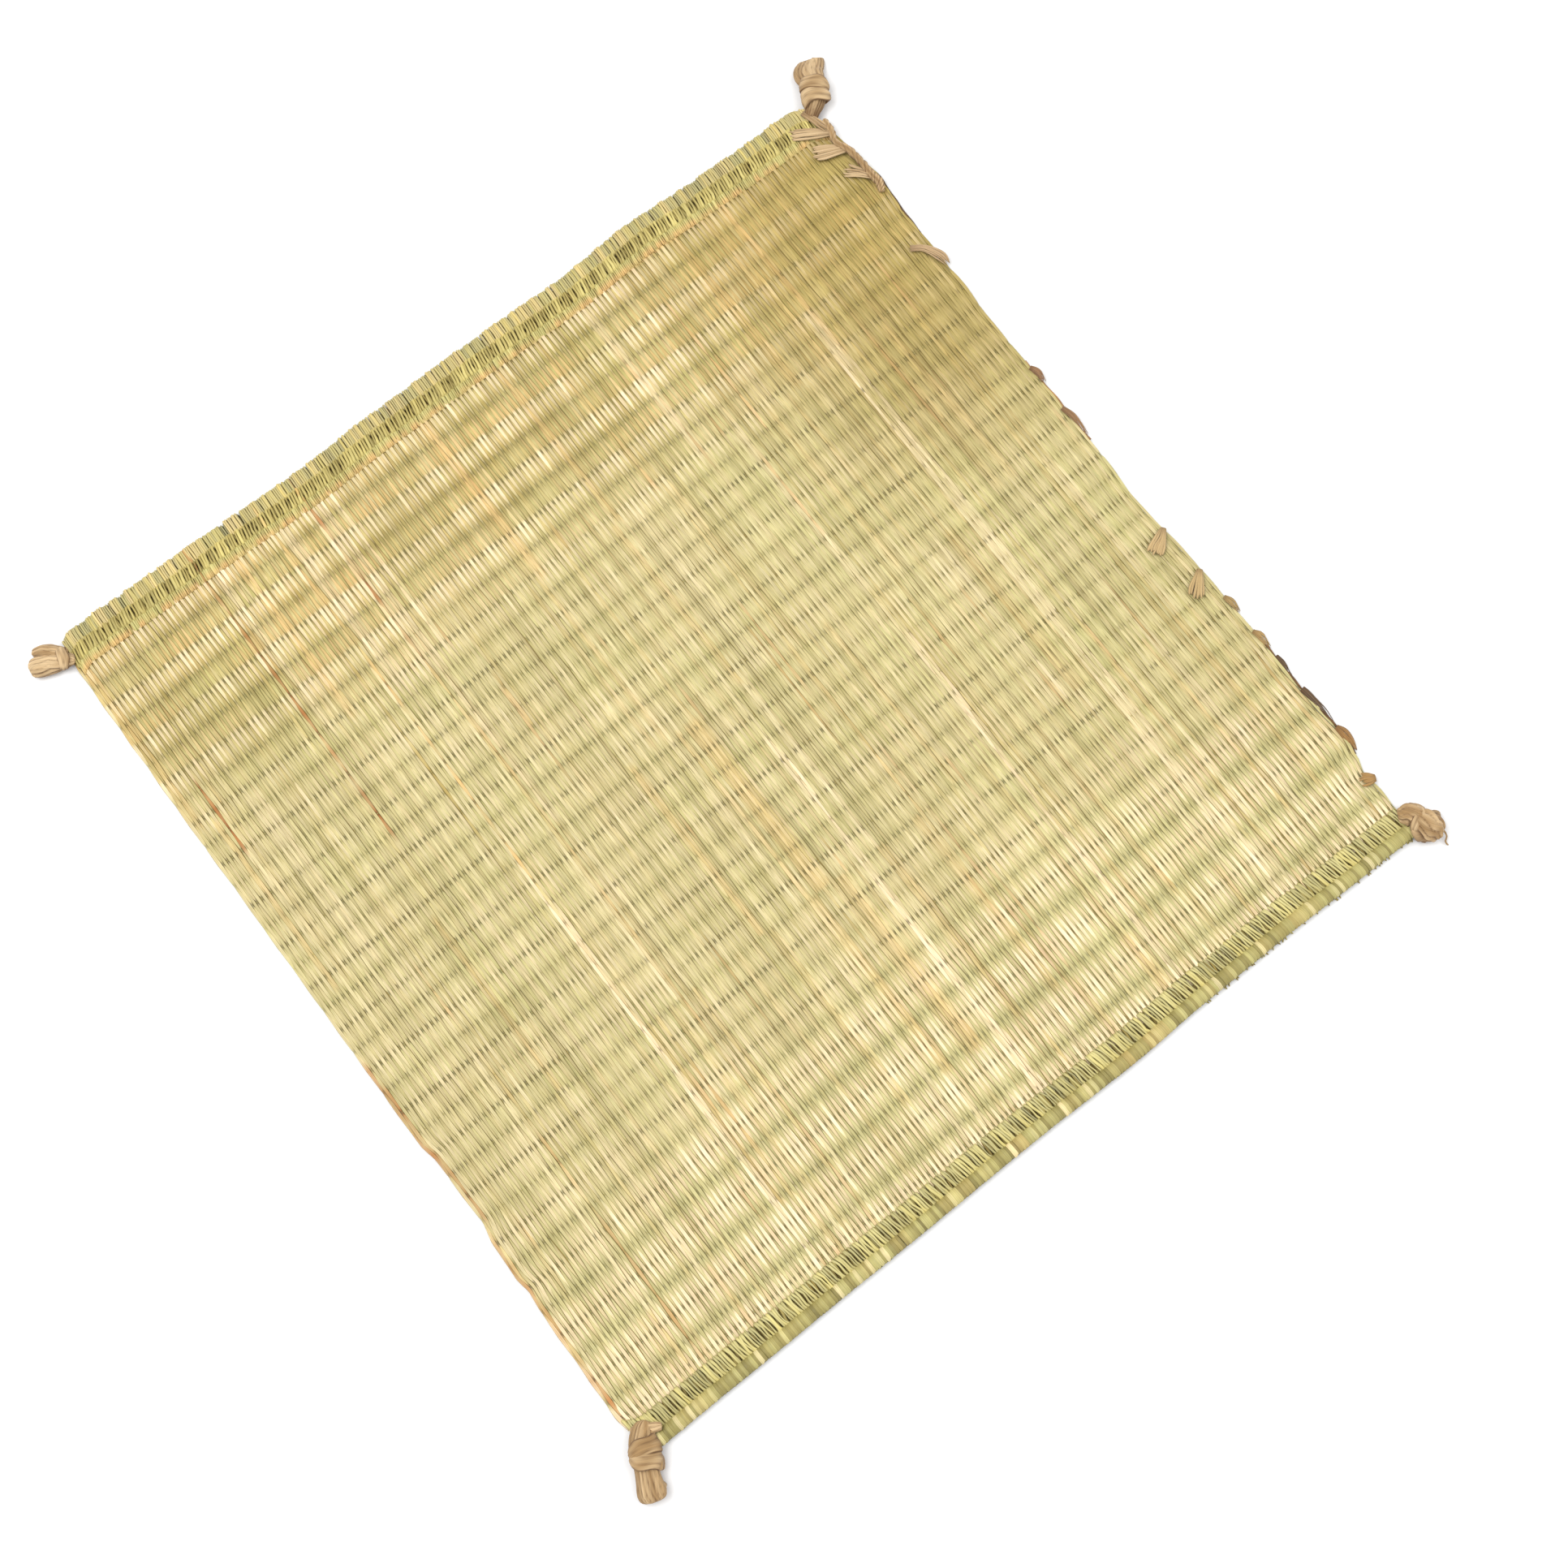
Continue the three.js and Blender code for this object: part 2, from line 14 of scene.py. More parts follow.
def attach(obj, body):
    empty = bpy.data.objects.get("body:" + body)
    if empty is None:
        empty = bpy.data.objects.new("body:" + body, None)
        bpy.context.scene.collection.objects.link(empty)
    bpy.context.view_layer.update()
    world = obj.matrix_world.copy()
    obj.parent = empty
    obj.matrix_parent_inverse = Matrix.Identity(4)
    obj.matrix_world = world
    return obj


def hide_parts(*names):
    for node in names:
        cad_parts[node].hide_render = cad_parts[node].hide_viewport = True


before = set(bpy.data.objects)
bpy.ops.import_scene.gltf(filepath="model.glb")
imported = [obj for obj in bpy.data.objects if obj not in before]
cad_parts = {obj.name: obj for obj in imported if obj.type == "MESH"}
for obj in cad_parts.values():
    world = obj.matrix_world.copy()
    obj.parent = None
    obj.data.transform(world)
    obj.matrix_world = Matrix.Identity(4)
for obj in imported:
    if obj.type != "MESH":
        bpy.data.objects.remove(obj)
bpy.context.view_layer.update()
scene = bpy.context.scene

MM = 0.001
TAU = 2 * np.pi
chance = np.random.default_rng(41)

# Camera and light

CAMERA_PLACE = (-0.14912, -0.37426, 1.36903)
CAMERA_RIGHT = (0.79047, -0.61003, -0.05495)
CAMERA_UP = (0.60255, 0.75839, 0.24855)
CAMERA_BACK = (-0.10995, -0.22958, 0.96706)
CAMERA_LENS = 52.63  # in mm, like the sensor's width
CAMERA_SENSOR = 36

# Driving dimensions of the mat

HALF_WIDTH = 296
HALF_LENGTH = 304.5
FIRST_ROW = 16.6
ROW_PITCH = 16.2
LAST = 36  # number of the last warp cord, the only one that is not evenly spaced
LAST_ROW = 595.2
CORNER_REACH = 9
CORNER_DROP = 3
MIDDLE = 1.9  # height of the warp cords
STEMS = 344
WOVEN_WIDTH = 604
STEM_PITCH = WOVEN_WIDTH / STEMS
STEM_THICK = 0.56  # half the thickness of a stem
STEM_LIFT = 0.44  # how far a stem rises over a cord and dips under one
CORD_RADIUS = 0.2
SHEET_DROP = 0.35  # how far the hidden middle of the weave lies under the cords
SHEET_INSET = 3.5  # how far it ends inside the two rims
STEPS_PER_ROW = 4
RING_PULL = 0.08  # how far the rings are drawn towards the cords, in rows

# Where a change over the face starts and where it is complete. The first four are distances
# from the back corner line, the other three are places in x or y.
BACK_BINDING = (11, 16)
BACK_ZONE = (70, 195)
FRONT_ZONE = (440, 530)
FRONT_BINDING = (597, 601)
RIGHT_ZONE = (-60, 220)
GOLD_CORNER_X = (100, 260)
GOLD_CORNER_Y = (-20, 130)

PATCH_START = -330  # x where the slow changes start
PATCH_SPAN = 700  # how far they run across the mat

BACK_RIM = np.array([
    (-300, 10.5), (-200, 9.3), (-115, 7.4), (-55, 9.7), (20, 10.3),
    (95, 9), (160, 12.6), (205, 10.4), (255, 9.4), (300, 9.4),
])
FRONT_RIM = np.array([
    (-300, 14), (-240, 13), (-120, 11.7), (-5, 10.2), (60, 10.8),
    (130, 8.7), (190, 8), (240, 8.8), (296, 9),
])
LEFT_EDGE = np.array([
    (-305, 2.5), (-285, 4.9), (-212, 4.6), (-200, 3.2), (-190, 4.9), (-165, 3.9),
    (-150, 1.4), (-105, 1.9), (-90, 4.4), (50, 4.6), (285, 4.2), (312, 1.5),
])
RIGHT_EDGE = np.array([
    (-305, -9), (-283, -7.6), (-265, -8), (-254, -5.2), (-240, -2.4), (-190, -3),
    (-160, -1.5), (-100, -0.2), (-40, -1.8), (0, 1), (60, 3.2), (110, 4.6),
    (150, 7.2), (200, 8.6), (240, 12.4), (275, 9.5), (312, 6),
])
LEFT_MEAN = 4.0
RIGHT_MEAN = 1.2
RIGHT_LEAN = 0.031
EDGE_FADE = 15


def tint(red, green, blue):
    """A screen colour from 0 to 255 as linear light: the curve of the screen, undone."""
    share = np.array([red, green, blue]) / 255
    return np.where(share <= 0.04045, share / 12.92, ((share + 0.055) / 1.055) ** 2.4)


CREAM = tint(244, 221, 180)
STRAW = tint(226, 205, 152)
MEADOW = tint(201, 192, 124)  # yellow-green
OLIVE = tint(182, 168, 100)
DEEP_OLIVE = tint(150, 129, 64)
SAGE = tint(201, 192, 136)  # grey-green
TAN = tint(222, 182, 118)
GOLD = tint(190, 163, 88)
RUST = tint(176, 116, 60)
JUTE_LIGHT = tint(203, 173, 130)
JUTE_TAN = tint(162, 129, 86)
# Dark brown for painted shade in the jute: creases, undersides, the necks of knots and the roots of strands.
JUTE_DARK = tint(98, 66, 34)


# Curves and tables


def eased(table, place):
    """Steps from row to row of (at, out) by 3s^2 - 2s^3 of the share s between two rows."""
    at, out = table.T
    row = np.clip(np.searchsorted(at, place, side="right") - 1, 0, len(at) - 2)
    share = np.clip((place - at[row]) / (at[row + 1] - at[row]), 0, 1)
    return out[row] + (out[row + 1] - out[row]) * share * share * (3 - 2 * share)


def ramp(value, start, end):
    """0 before start, 1 after end and 3s^2 - 2s^3 of the share s in between."""
    share = np.clip((value - start) / (end - start), 0, 1)
    return share * share * (3 - 2 * share)


def mixed(first, second, share):
    """first at share 0 and second at share 1, colour by colour."""
    share = np.asarray(share)[..., None]
    return first + (second - first) * share


def across(y, share):
    """x at a share of the way from the left edge to the right edge, at height y of the mat:
    a straight line between two straight edges, plus each edge's waves, which die out inwards
    by e to the minus square of the distance over EDGE_FADE."""
    left = -HALF_WIDTH - LEFT_MEAN
    right = HALF_WIDTH + RIGHT_MEAN + RIGHT_LEAN * y
    left_wave = -HALF_WIDTH - eased(LEFT_EDGE, y) - left
    right_wave = HALF_WIDTH + eased(RIGHT_EDGE, y) - right
    from_left = share * (right - left) / EDGE_FADE
    from_right = (1 - share) * (right - left) / EDGE_FADE
    waves = left_wave * np.exp(-from_left**2) + right_wave * np.exp(-from_right**2)
    return left + (right - left) * share + waves


def rim_out(table, x):
    """How far a bound rim stands outside the line between its corners: the table, less a
    drop that grows with the square of the nearness to a corner."""
    near = np.clip((np.abs(x) - (HALF_WIDTH - CORNER_REACH)) / CORNER_REACH, 0, None)
    return eased(table, x) - CORNER_DROP * near * near


def smooth_noise(shape, steps, size):
    """Random numbers of normal spread size, one per step along the last axis, joined by
    straight lines to the given shape."""
    count, length = shape
    knots = chance.normal(0, size, (count, steps + 1))
    place = np.linspace(0, steps, length)
    low = np.minimum(place.astype(int), steps - 1)
    share = place - low
    return knots[:, low] * (1 - share) + knots[:, low + 1] * share


def patches(x, row, cell):
    """Slow random change across the mat, one run of values per row: a value every cell
    millimetres, joined by straight lines."""
    rows = np.clip(row, -1, LAST + 2).astype(int) + 1
    values = chance.normal(0, 1, (LAST + 4, int(PATCH_SPAN / cell) + 2))
    place = np.clip((x - PATCH_START) / cell, 0, values.shape[1] - 1.001)
    low = place.astype(int)
    share = place - low
    return values[rows, low] * (1 - share) + values[rows, low + 1] * share


# Meshes


def mesh_of(name, grid, tone, material, spread=None):
    """One closed skin per run of rings.

    grid[run, ring, side] holds points in millimetres, each ring is closed round its sides
    and each run is capped at both ends. tone[run, ring, side] is the colour. spread, where
    given, is (distance round, distance along) in millimetres for the UV map.
    """
    runs, rings, sides, _ = grid.shape
    index = np.arange(runs * rings * sides).reshape(runs, rings, sides)
    near, far = index[:, :-1], index[:, 1:]
    quads = np.stack([near, np.roll(near, -1, 2), np.roll(far, -1, 2), far], -1).reshape(-1, 4)
    caps = np.concatenate([index[:, 0, ::-1], index[:, -1]])
    points = grid.reshape(-1, 3)
    a, b, c, d = (points[quads[:, k]] for k in range(4))
    volume = (a * np.cross(b, c)).sum() + (a * np.cross(c, d)).sum()
    loops = [quads, caps] if volume > 0 else [quads[:, ::-1], caps[:, ::-1]]
    sizes = np.concatenate([np.full(len(quads), 4), np.full(len(caps), sides)])
    mesh = bpy.data.meshes.new(name)
    mesh.vertices.add(len(points))
    mesh.vertices.foreach_set("co", (points * MM).ravel())
    corners = np.concatenate([part.ravel() for part in loops])
    mesh.loops.add(len(corners))
    mesh.loops.foreach_set("vertex_index", corners)
    mesh.polygons.add(len(sizes))
    mesh.polygons.foreach_set("loop_start", np.cumsum(sizes) - sizes)
    mesh.polygons.foreach_set("use_smooth", np.ones(len(sizes), bool))
    colours = np.ones((len(points), 4))
    colours[:, :3] = np.broadcast_to(tone, grid.shape).reshape(-1, 3)
    layer = mesh.color_attributes.new("tone", "FLOAT_COLOR", "POINT")
    layer.data.foreach_set("color", colours.ravel())
    if spread is not None:
        round_it, along = (np.broadcast_to(s, (runs, rings, sides)) for s in spread)
        step = round_it.max() / sides
        wide = np.stack([round_it[:, :-1], round_it[:, :-1] + step] * 2, -1)[..., [0, 1, 3, 2]]
        long = np.stack([along[:, :-1]] * 2 + [along[:, 1:]] * 2, -1)
        flat = np.stack([wide, long], -1).reshape(-1, 4, 2)
        if volume <= 0:
            flat = flat[:, ::-1]
        whole = np.concatenate([flat.reshape(-1, 2), np.zeros((caps.size, 2))]) * MM
        mesh.uv_layers.new(name="fibre").data.foreach_set("uv", whole.ravel())
    mesh.update()
    mesh.materials.append(material)
    piece = bpy.data.objects.new(name, mesh)
    scene.collection.objects.link(piece)
    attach(piece, "root")
    return piece


def rings_on(path, half, rise, profile):
    """Rings across paths: each profile point (a, b) goes to path + a * half * aside + b *
    rise * up, where aside is level and across the path, and up is square to both."""
    ahead = np.gradient(path, axis=1)
    ahead /= np.linalg.norm(ahead, axis=-1, keepdims=True)
    aside = np.stack([ahead[..., 1], -ahead[..., 0], np.zeros_like(ahead[..., 0])], -1)
    aside /= np.linalg.norm(aside, axis=-1, keepdims=True)
    up = np.cross(aside, ahead)
    a, b = profile.T
    return (
        path[:, :, None]
        + aside[:, :, None] * (half[..., None] * a)[..., None]
        + up[:, :, None] * (rise[..., None] * b)[..., None]
    )


# A split stem: two rounded ridges with a groove between them, and a plain underside.
STEM_PROFILE = np.array([(-1, 0.42), (-0.62, 0.84), (-0.04, 0.7), (0.56, 0.88), (1, 0.42), (0, -0.9)])
FLAT_SHADE = np.array([0.88, 1.0, 0.86, 0.98, 0.88, 0.8])  # between two cords
SLIT_SHADE = np.array([0.52, 1.0, 0.9, 1.0, 0.52, 0.6])  # at a cord, where the sides are dark
DEEPENING = np.array([0.95, 1, 1.35])  # shade takes more of the blue, so it stays straw-brown
# A turned-over stem in a border: one round ridge.
ROUND_PROFILE = np.array([(-1, -0.3), (-0.62, 0.62), (0, 1), (0.62, 0.62), (1, -0.3), (0, -0.9)])
ROUND_SHADE = np.array([0.55, 0.92, 1.02, 0.92, 0.55, 0.6])
DIAMOND = np.array([(-1, 0), (0, 1), (1, 0), (0, -1)])
# A wrapped rib: three low ridges.
RIB_PROFILE = np.array([
    (-1, 0), (-0.8, 0.72), (-0.45, 0.86), (-0.2, 0.84), (0.1, 1), (0.42, 0.84), (0.78, 0.8),
    (1, 0), (0, -0.8),
])
RIB_SHADE = np.array([0.66, 0.94, 1.03, 0.86, 1.04, 0.88, 1.0, 0.66, 0.6])


# Shader groups


def group_of(name, inputs, outputs):
    """An empty shader group with named sockets: (tree, input node, output node)."""
    tree = bpy.data.node_groups.new(name, "ShaderNodeTree")
    for label, kind, value in inputs:
        socket = tree.interface.new_socket(label, in_out="INPUT", socket_type=kind)
        if value is not None:
            socket.default_value = value
    for label, kind in outputs:
        tree.interface.new_socket(label, in_out="OUTPUT", socket_type=kind)
    return tree, tree.nodes.new("NodeGroupInput"), tree.nodes.new("NodeGroupOutput")


def maths(tree, kind, *values):
    """A Math node whose inputs are numbers or sockets."""
    node = tree.nodes.new("ShaderNodeMath")
    node.operation = kind
    for socket, value in zip(node.inputs, values):
        if isinstance(value, (int, float)):
            socket.default_value = value
        else:
            tree.links.new(value, socket)
    return node.outputs[0]


def noise(tree, vector, scale, detail, rough):
    """A noise texture's value from 0 to 1."""
    node = tree.nodes.new("ShaderNodeTexNoise")
    node.inputs["Scale"].default_value = scale
    node.inputs["Detail"].default_value = detail
    node.inputs["Roughness"].default_value = rough
    tree.links.new(vector, node.inputs["Vector"])
    return node.outputs["Fac"]


def fibre_grain():
    """Fine lengthwise streaks and slow blotches. Shade is 1 plus Depth times the streaks plus
    Blotch times the blotches, and Height is the streaks alone."""
    tree, entry, leave = group_of(
        "fibre_grain",
        [
            ("Vector", "NodeSocketVector", None),
            ("Depth", "NodeSocketFloat", 0.3),
            ("Blotch", "NodeSocketFloat", 0.2),
        ],
        [("Shade", "NodeSocketFloat"), ("Height", "NodeSocketFloat")],
    )
    streak = noise(tree, entry.outputs["Vector"], 1.0, 3, 0.6)
    blotch = noise(tree, entry.outputs["Vector"], 0.12, 2, 0.5)
    deep = maths(tree, "MULTIPLY", maths(tree, "SUBTRACT", streak, 0.5), entry.outputs["Depth"])
    slow = maths(tree, "MULTIPLY", maths(tree, "SUBTRACT", blotch, 0.5), entry.outputs["Blotch"])
    shade = maths(tree, "ADD", maths(tree, "ADD", deep, slow), 1.0)
    tree.links.new(shade, leave.inputs["Shade"])
    tree.links.new(streak, leave.inputs["Height"])
    return tree


GRAIN = fibre_grain()


def finish_of(name, stretch, depth, blotch, rough, lift, space="Object", sheen=0.0, plain=None):
    """A fibre finish: a colour times the grain, with the grain in bump and roughness too.

    The colour is plain where it is given, and else the tone that the piece's points carry.
    """
    material = bpy.data.materials.new(name)
    material.use_nodes = True
    tree = material.node_tree
    shader = tree.nodes["Principled BSDF"]
    place = tree.nodes.new("ShaderNodeTexCoord")
    scale = tree.nodes.new("ShaderNodeMapping")
    scale.inputs["Scale"].default_value = stretch
    tree.links.new(place.outputs[space], scale.inputs["Vector"])
    grain = tree.nodes.new("ShaderNodeGroup")
    grain.node_tree = GRAIN
    grain.inputs["Depth"].default_value = depth
    grain.inputs["Blotch"].default_value = blotch
    tree.links.new(scale.outputs["Vector"], grain.inputs["Vector"])
    mix = tree.nodes.new("ShaderNodeMix")
    mix.data_type = "RGBA"
    mix.blend_type = "MULTIPLY"
    mix.inputs["Factor"].default_value = 1
    if plain is None:
        tone = tree.nodes.new("ShaderNodeAttribute")
        tone.attribute_name = "tone"
        tree.links.new(tone.outputs["Color"], mix.inputs["A"])
    else:
        mix.inputs["A"].default_value = (*plain, 1)
    tree.links.new(grain.outputs["Shade"], mix.inputs["B"])
    tree.links.new(mix.outputs["Result"], shader.inputs["Base Color"])
    dull = maths(tree, "ADD", maths(tree, "MULTIPLY", grain.outputs["Height"], 0.25), rough - 0.12)
    tree.links.new(dull, shader.inputs["Roughness"])
    shader.inputs["Sheen Weight"].default_value = sheen
    shader.inputs["Specular IOR Level"].default_value = 0.35
    bump = tree.nodes.new("ShaderNodeBump")
    bump.inputs["Strength"].default_value = 0.5
    bump.inputs["Distance"].default_value = lift
    tree.links.new(grain.outputs["Height"], bump.inputs["Height"])
    tree.links.new(bump.outputs["Normal"], shader.inputs["Normal"])
    return material


GRASS = finish_of("dried_grass", (1500, 30, 1500), 0.85, 0.2, 0.6, 0.00025)
RIM_GRASS = finish_of("bound_grass", (1400, 60, 100), 0.8, 0.4, 0.55, 0.0002)
WARP = finish_of("warp_cord", (90, 2200, 900), 0.5, 0.2, 0.8, 0.0002)
# The grass under the weave: a plain dark olive, partly its own colour and partly painted shade, so the slits
# between the stems look dark.
INNER_GRASS_AND_SHADE = finish_of(
    "inner_grass_and_shade", (900, 40, 900), 0.5, 0.4, 0.85, 0.0002, plain=tint(166, 143, 82)
)
JUTE = finish_of("jute_fibre", (2200, 60, 1), 1.1, 0.5, 0.8, 0.0006, space="UV", sheen=0.15)

# Rows of warp cord, as distances from the back corner line. The rows before the first cord
# and after the last one only carry the stems on into the borders.
ROW_NUMBERS = np.arange(-1, LAST + 2)
ROW_PLACES = np.concatenate(
    [FIRST_ROW + ROW_PITCH * np.arange(-1, LAST), [LAST_ROW, LAST_ROW + ROW_PITCH]]
)


def row_wave(x, row):
    """How far a cord strays along the grass: two sines of x that slide from row to row."""
    return 0.8 * np.sin(x / 83 + 0.35 * row) + 0.45 * np.sin(x / 31 + 1.3 * row)


# Weave


def weave():
    """Stems over and under the warp cords, as plain weave.

    A stem crosses over every second cord. With c the cosine of pi times the distance from
    such a cord in rows, its middle lies STEM_LIFT times c |c|^3 above the cords, so it runs
    level between two cords and bends close to them. RING_PULL draws its rings towards the
    cords by a sine of their row, which keeps these bends short. Under a cord it loses a share
    of its width with c^12, which opens a slit beside it. Where the weave is loose, most of
    all near the borders, every second stem leads: it is wide over its cords, and the others
    shrink to let it show.
    """
    stem = np.arange(STEMS)[:, None]
    even = np.linspace(-0.5, LAST + 0.5, (LAST + 1) * STEPS_PER_ROW + 1)[None, :]
    row = even - RING_PULL * np.sin(TAU * even)
    shape = (STEMS, row.shape[1])
    share = (stem + 0.5) / STEMS
    v = np.interp(row, ROW_NUMBERS, ROW_PLACES)  # distance from the back corner line
    y = HALF_LENGTH - v - row_wave(across(HALF_LENGTH - v, share), row)
    x = across(y, share) + smooth_noise(shape, 37, 0.07) + smooth_noise(shape, 6, 0.12)
    bound = ramp(v, *BACK_BINDING) * (1 - ramp(v, *FRONT_BINDING))  # 0 inside a border
    over = np.cos(np.pi * (row - stem % 2)) * bound
    nearest = np.round((row - stem % 2) / 2) * 2 + stem % 2  # the cord that is crossed over

    # Chance changes: one per crossing, one per stem and one per patch of the face.
    crossing = (nearest - nearest.min()).astype(int)
    per_crossing = chance.normal(0, 1, (STEMS, crossing.max() + 1))
    here = np.take_along_axis(per_crossing, np.broadcast_to(crossing, shape), 1)
    per_stem = chance.normal(0, 1, (STEMS, 1))
    patch = patches(x, nearest, 24)

    back = 1 - ramp(v, *BACK_ZONE)
    front = ramp(v, *FRONT_ZONE)
    right = ramp(x, *RIGHT_ZONE) * (1 - front)
    leads = stem % 2 == 0
    lead = 0.5 + 0.5 * np.where(leads, over, -over)
    under = np.clip(-over, 0, 1) ** 12
    sharp = np.clip(0.68 + 0.4 * patches(x, row, 30) + 0.4 * here - 0.3 * right, 0.05, 1.3)
    sharp = np.clip(sharp + 0.3 * back * (1 - right) + 0.3 * front, 0, 1.2)
    sharp = sharp * (0.55 + 0.45 * lead)
    loose = np.clip(0.3 + 0.45 * back + 0.6 * front - 0.2 * right, 0, 0.9) * bound
    swelling = np.where(leads, 0.74 + 0.5 * lead, 1.16 - 0.74 * lead)
    level = 1.05 - 0.62 * under * sharp
    half = (level + (swelling - level) * loose) * (1 + 0.05 * per_stem + 0.04 * here)
    half = half * np.clip(np.gradient(x, axis=0) / STEM_PITCH, 0.7, 1.6)
    rise = np.broadcast_to(STEM_THICK + 0.05 * per_stem, shape)
    z = MIDDLE + STEM_LIFT * over * np.abs(over) ** 3 + 0.07 * per_stem + 0.05 * here
    grid = rings_on(np.stack([x, y, z], -1), half, rise, STEM_PROFILE)

    tone = stem_tone(SimpleNamespace(
        x=x, y=y, v=v, row=row, stem=stem, leads=leads, over=over, nearest=nearest, here=here,
        per_stem=per_stem, patch=patch, sharp=sharp, back=back, front=front, right=right,
    ))
    # Painted shade: the profile's shade, FLAT_SHADE between cords and SLIT_SHADE at them, darkens the sides,
    # groove and underside of each stem, and a stem that runs under a cord is darkened in the slit beside it.
    slit = over**16 * np.clip(sharp, 0, 1)
    tone = tone * (1 - 0.6 * under * slit)[..., None]
    shade = FLAT_SHADE + (SLIT_SHADE - FLAT_SHADE) * slit[..., None]
    tone = tone[:, :, None] * shade[..., None] ** DEEPENING
    return [
        mesh_of(f"stems_{letter}", grid[part], tone[part], GRASS)
        for letter, part in zip("abcd", np.array_split(np.arange(STEMS), 4))
    ]


def stem_tone(at):
    """Colour of each ring of each stem, from where it lies.

    Near the back edge a leading stem is pale where it comes down from its cord and tan where
    it climbs to it, and the others are deep olive at their cords. Near the front edge the
    leading stems are pale on both sides of their cords between grey-green rows. In the middle
    both effects are weak. The pale is a painted highlight, the sheen of the slopes that face
    the light, and the tan and the deep olive are painted shade. Streaks, stained stems and
    aged spots go over that.
    """
    x, v, leads, here, back, front = at.x, at.v, at.leads, at.here, at.back, at.front
    shape = x.shape
    middle = (1 - back) * (1 - front)
    corner = ramp(x, *GOLD_CORNER_X) * ramp(at.y, *GOLD_CORNER_Y)
    past = at.row - at.nearest  # rows past the cord that the stem crosses over, -1 to 1
    down = ramp(past + 0.05 * here, -0.1, 0.04) * (1 - ramp(past, 0.6, 0.95))
    climb = ramp(-past, 0.0, 0.1) * (1 - 0.5 * ramp(-past, 0.6, 1.0))
    lens = 1 - ramp(np.abs(past) + 0.05 * here, 0.5, 0.8)
    held = 1 - ramp(np.abs(past), 0.15, 0.5)

    # Ground colour: each stem's own, and the slow changes over the face.
    field = patches(x, at.nearest, 30)
    pick = chance.random((STEMS, 1))
    base = mixed(STRAW, MEADOW, np.clip(0.36 + 0.36 * pick + 0.2 * field, 0, 1))
    base = mixed(base, TAN, ramp(pick, 0.9, 0.99) * 0.4)
    base = mixed(base, CREAM, 0.25 * ramp(chance.random((STEMS, 1)), 0.7, 1))
    tone = np.broadcast_to(base, (*shape, 3))
    olive = np.where(leads, 0.2, 0.5) * back * np.clip(1 + 0.35 * field, 0, 1.5)
    tone = mixed(tone, OLIVE, olive)
    tone = mixed(tone, SAGE, 0.85 * front * np.where(leads, 1 - lens, 1))

    # Changes along a stem, from one cord to the next.
    # Painted shade: tan where a stem climbs to its cord, on the slope that faces away from the light.
    tan = np.where(leads, 0.55, 0.3) * back * climb * np.clip(0.8 - 0.5 * field, 0, 1.5)
    tone = mixed(tone, TAN, tan)
    # Painted shade: deep olive on the other stems at their cords.
    deep = np.where(leads, 0, 1) * held * np.clip(1 + 0.4 * here + 0.4 * at.patch, 0, 1.8)
    deep = deep * (0.44 * back * (1 - 0.4 * at.right) + 0.2 * at.sharp * (1 - back))
    tone = mixed(tone, DEEP_OLIVE, deep)
    # Painted highlight: cream sheen on the leading stems where they come down from their cords, and round
    # their cords near the front and in the middle.
    pale = np.where(leads, 0.75 * back * down + 0.85 * front * lens, 0)
    pale = pale + np.where(leads, 0.4, 0.12) * (middle * lens * (1 - 0.5 * at.right))
    tone = mixed(tone, CREAM, np.clip(pale * (0.88 + 0.2 * at.patch + 0.14 * here), 0, 1))
    binding = 1 - ramp(v, 15, 17.5)
    tone = mixed(tone, mixed(TAN, RUST, np.clip(0.12 * (1 + here), 0, 1)), binding * 0.7)

    # Gold corner, shade of the zones, and streaks that run along a few stems.
    tone = mixed(tone, GOLD, corner * 0.65)
    shadow = 0.125 * middle + 0.05 * back + 0.08 * corner
    tone = tone * (1 - shadow)[..., None]
    # Painted shade: a little gold near the back, on all but the slopes that come down from a cord.
    tone = mixed(tone, GOLD, 0.14 * back * (1 - down))
    streak = patches(x, at.row * 0.12, 4)
    tone = mixed(tone, TAN, np.clip(0.3 * streak - 0.12, 0, 0.5))
    tone = mixed(tone, CREAM, np.clip(-0.3 * streak - 0.18, 0, 0.4) * (1 - corner))
    tone = mixed(tone, SAGE, 0.25 * middle * (1 - corner))

    # Stained stems, chosen by their place in the middle of the stained length.
    uneven = np.clip(0.7 + 0.6 * smooth_noise(shape, 30, 1), 0, 1.6)
    for place, more, first, last, colour, amount in STAINED_STEMS:
        half_way = np.argmin(np.abs(v[0] - (first + last) / 2))
        near = np.abs(at.stem - np.argmin(np.abs(x[:, half_way] - place))) <= more
        along = ramp(v, first - 12, first) * (1 - ramp(v, last, last + 30))
        stain = near * amount * along * (uneven + 0.5 * at.over**4)
        tone = mixed(tone, colour, np.clip(stain, 0, 1))
    aged = ramp(smooth_noise(shape, 9, 1), 1.3, 1.9)
    aged = aged * chance.choice([0, 1], (STEMS, 1), p=[0.6, 0.4])
    tone = mixed(tone, mixed(TAN, RUST, 0.35), 0.45 * aged)

    slow = patches(x, np.floor(at.row), 60)
    fine = smooth_noise(shape, 50, 1)
    bright = 1 + 0.06 * at.per_stem + 0.06 * here + 0.045 * fine + 0.03 * slow
    return tone * np.clip(bright, 0.72, 1.2)[..., None] ** DEEPENING


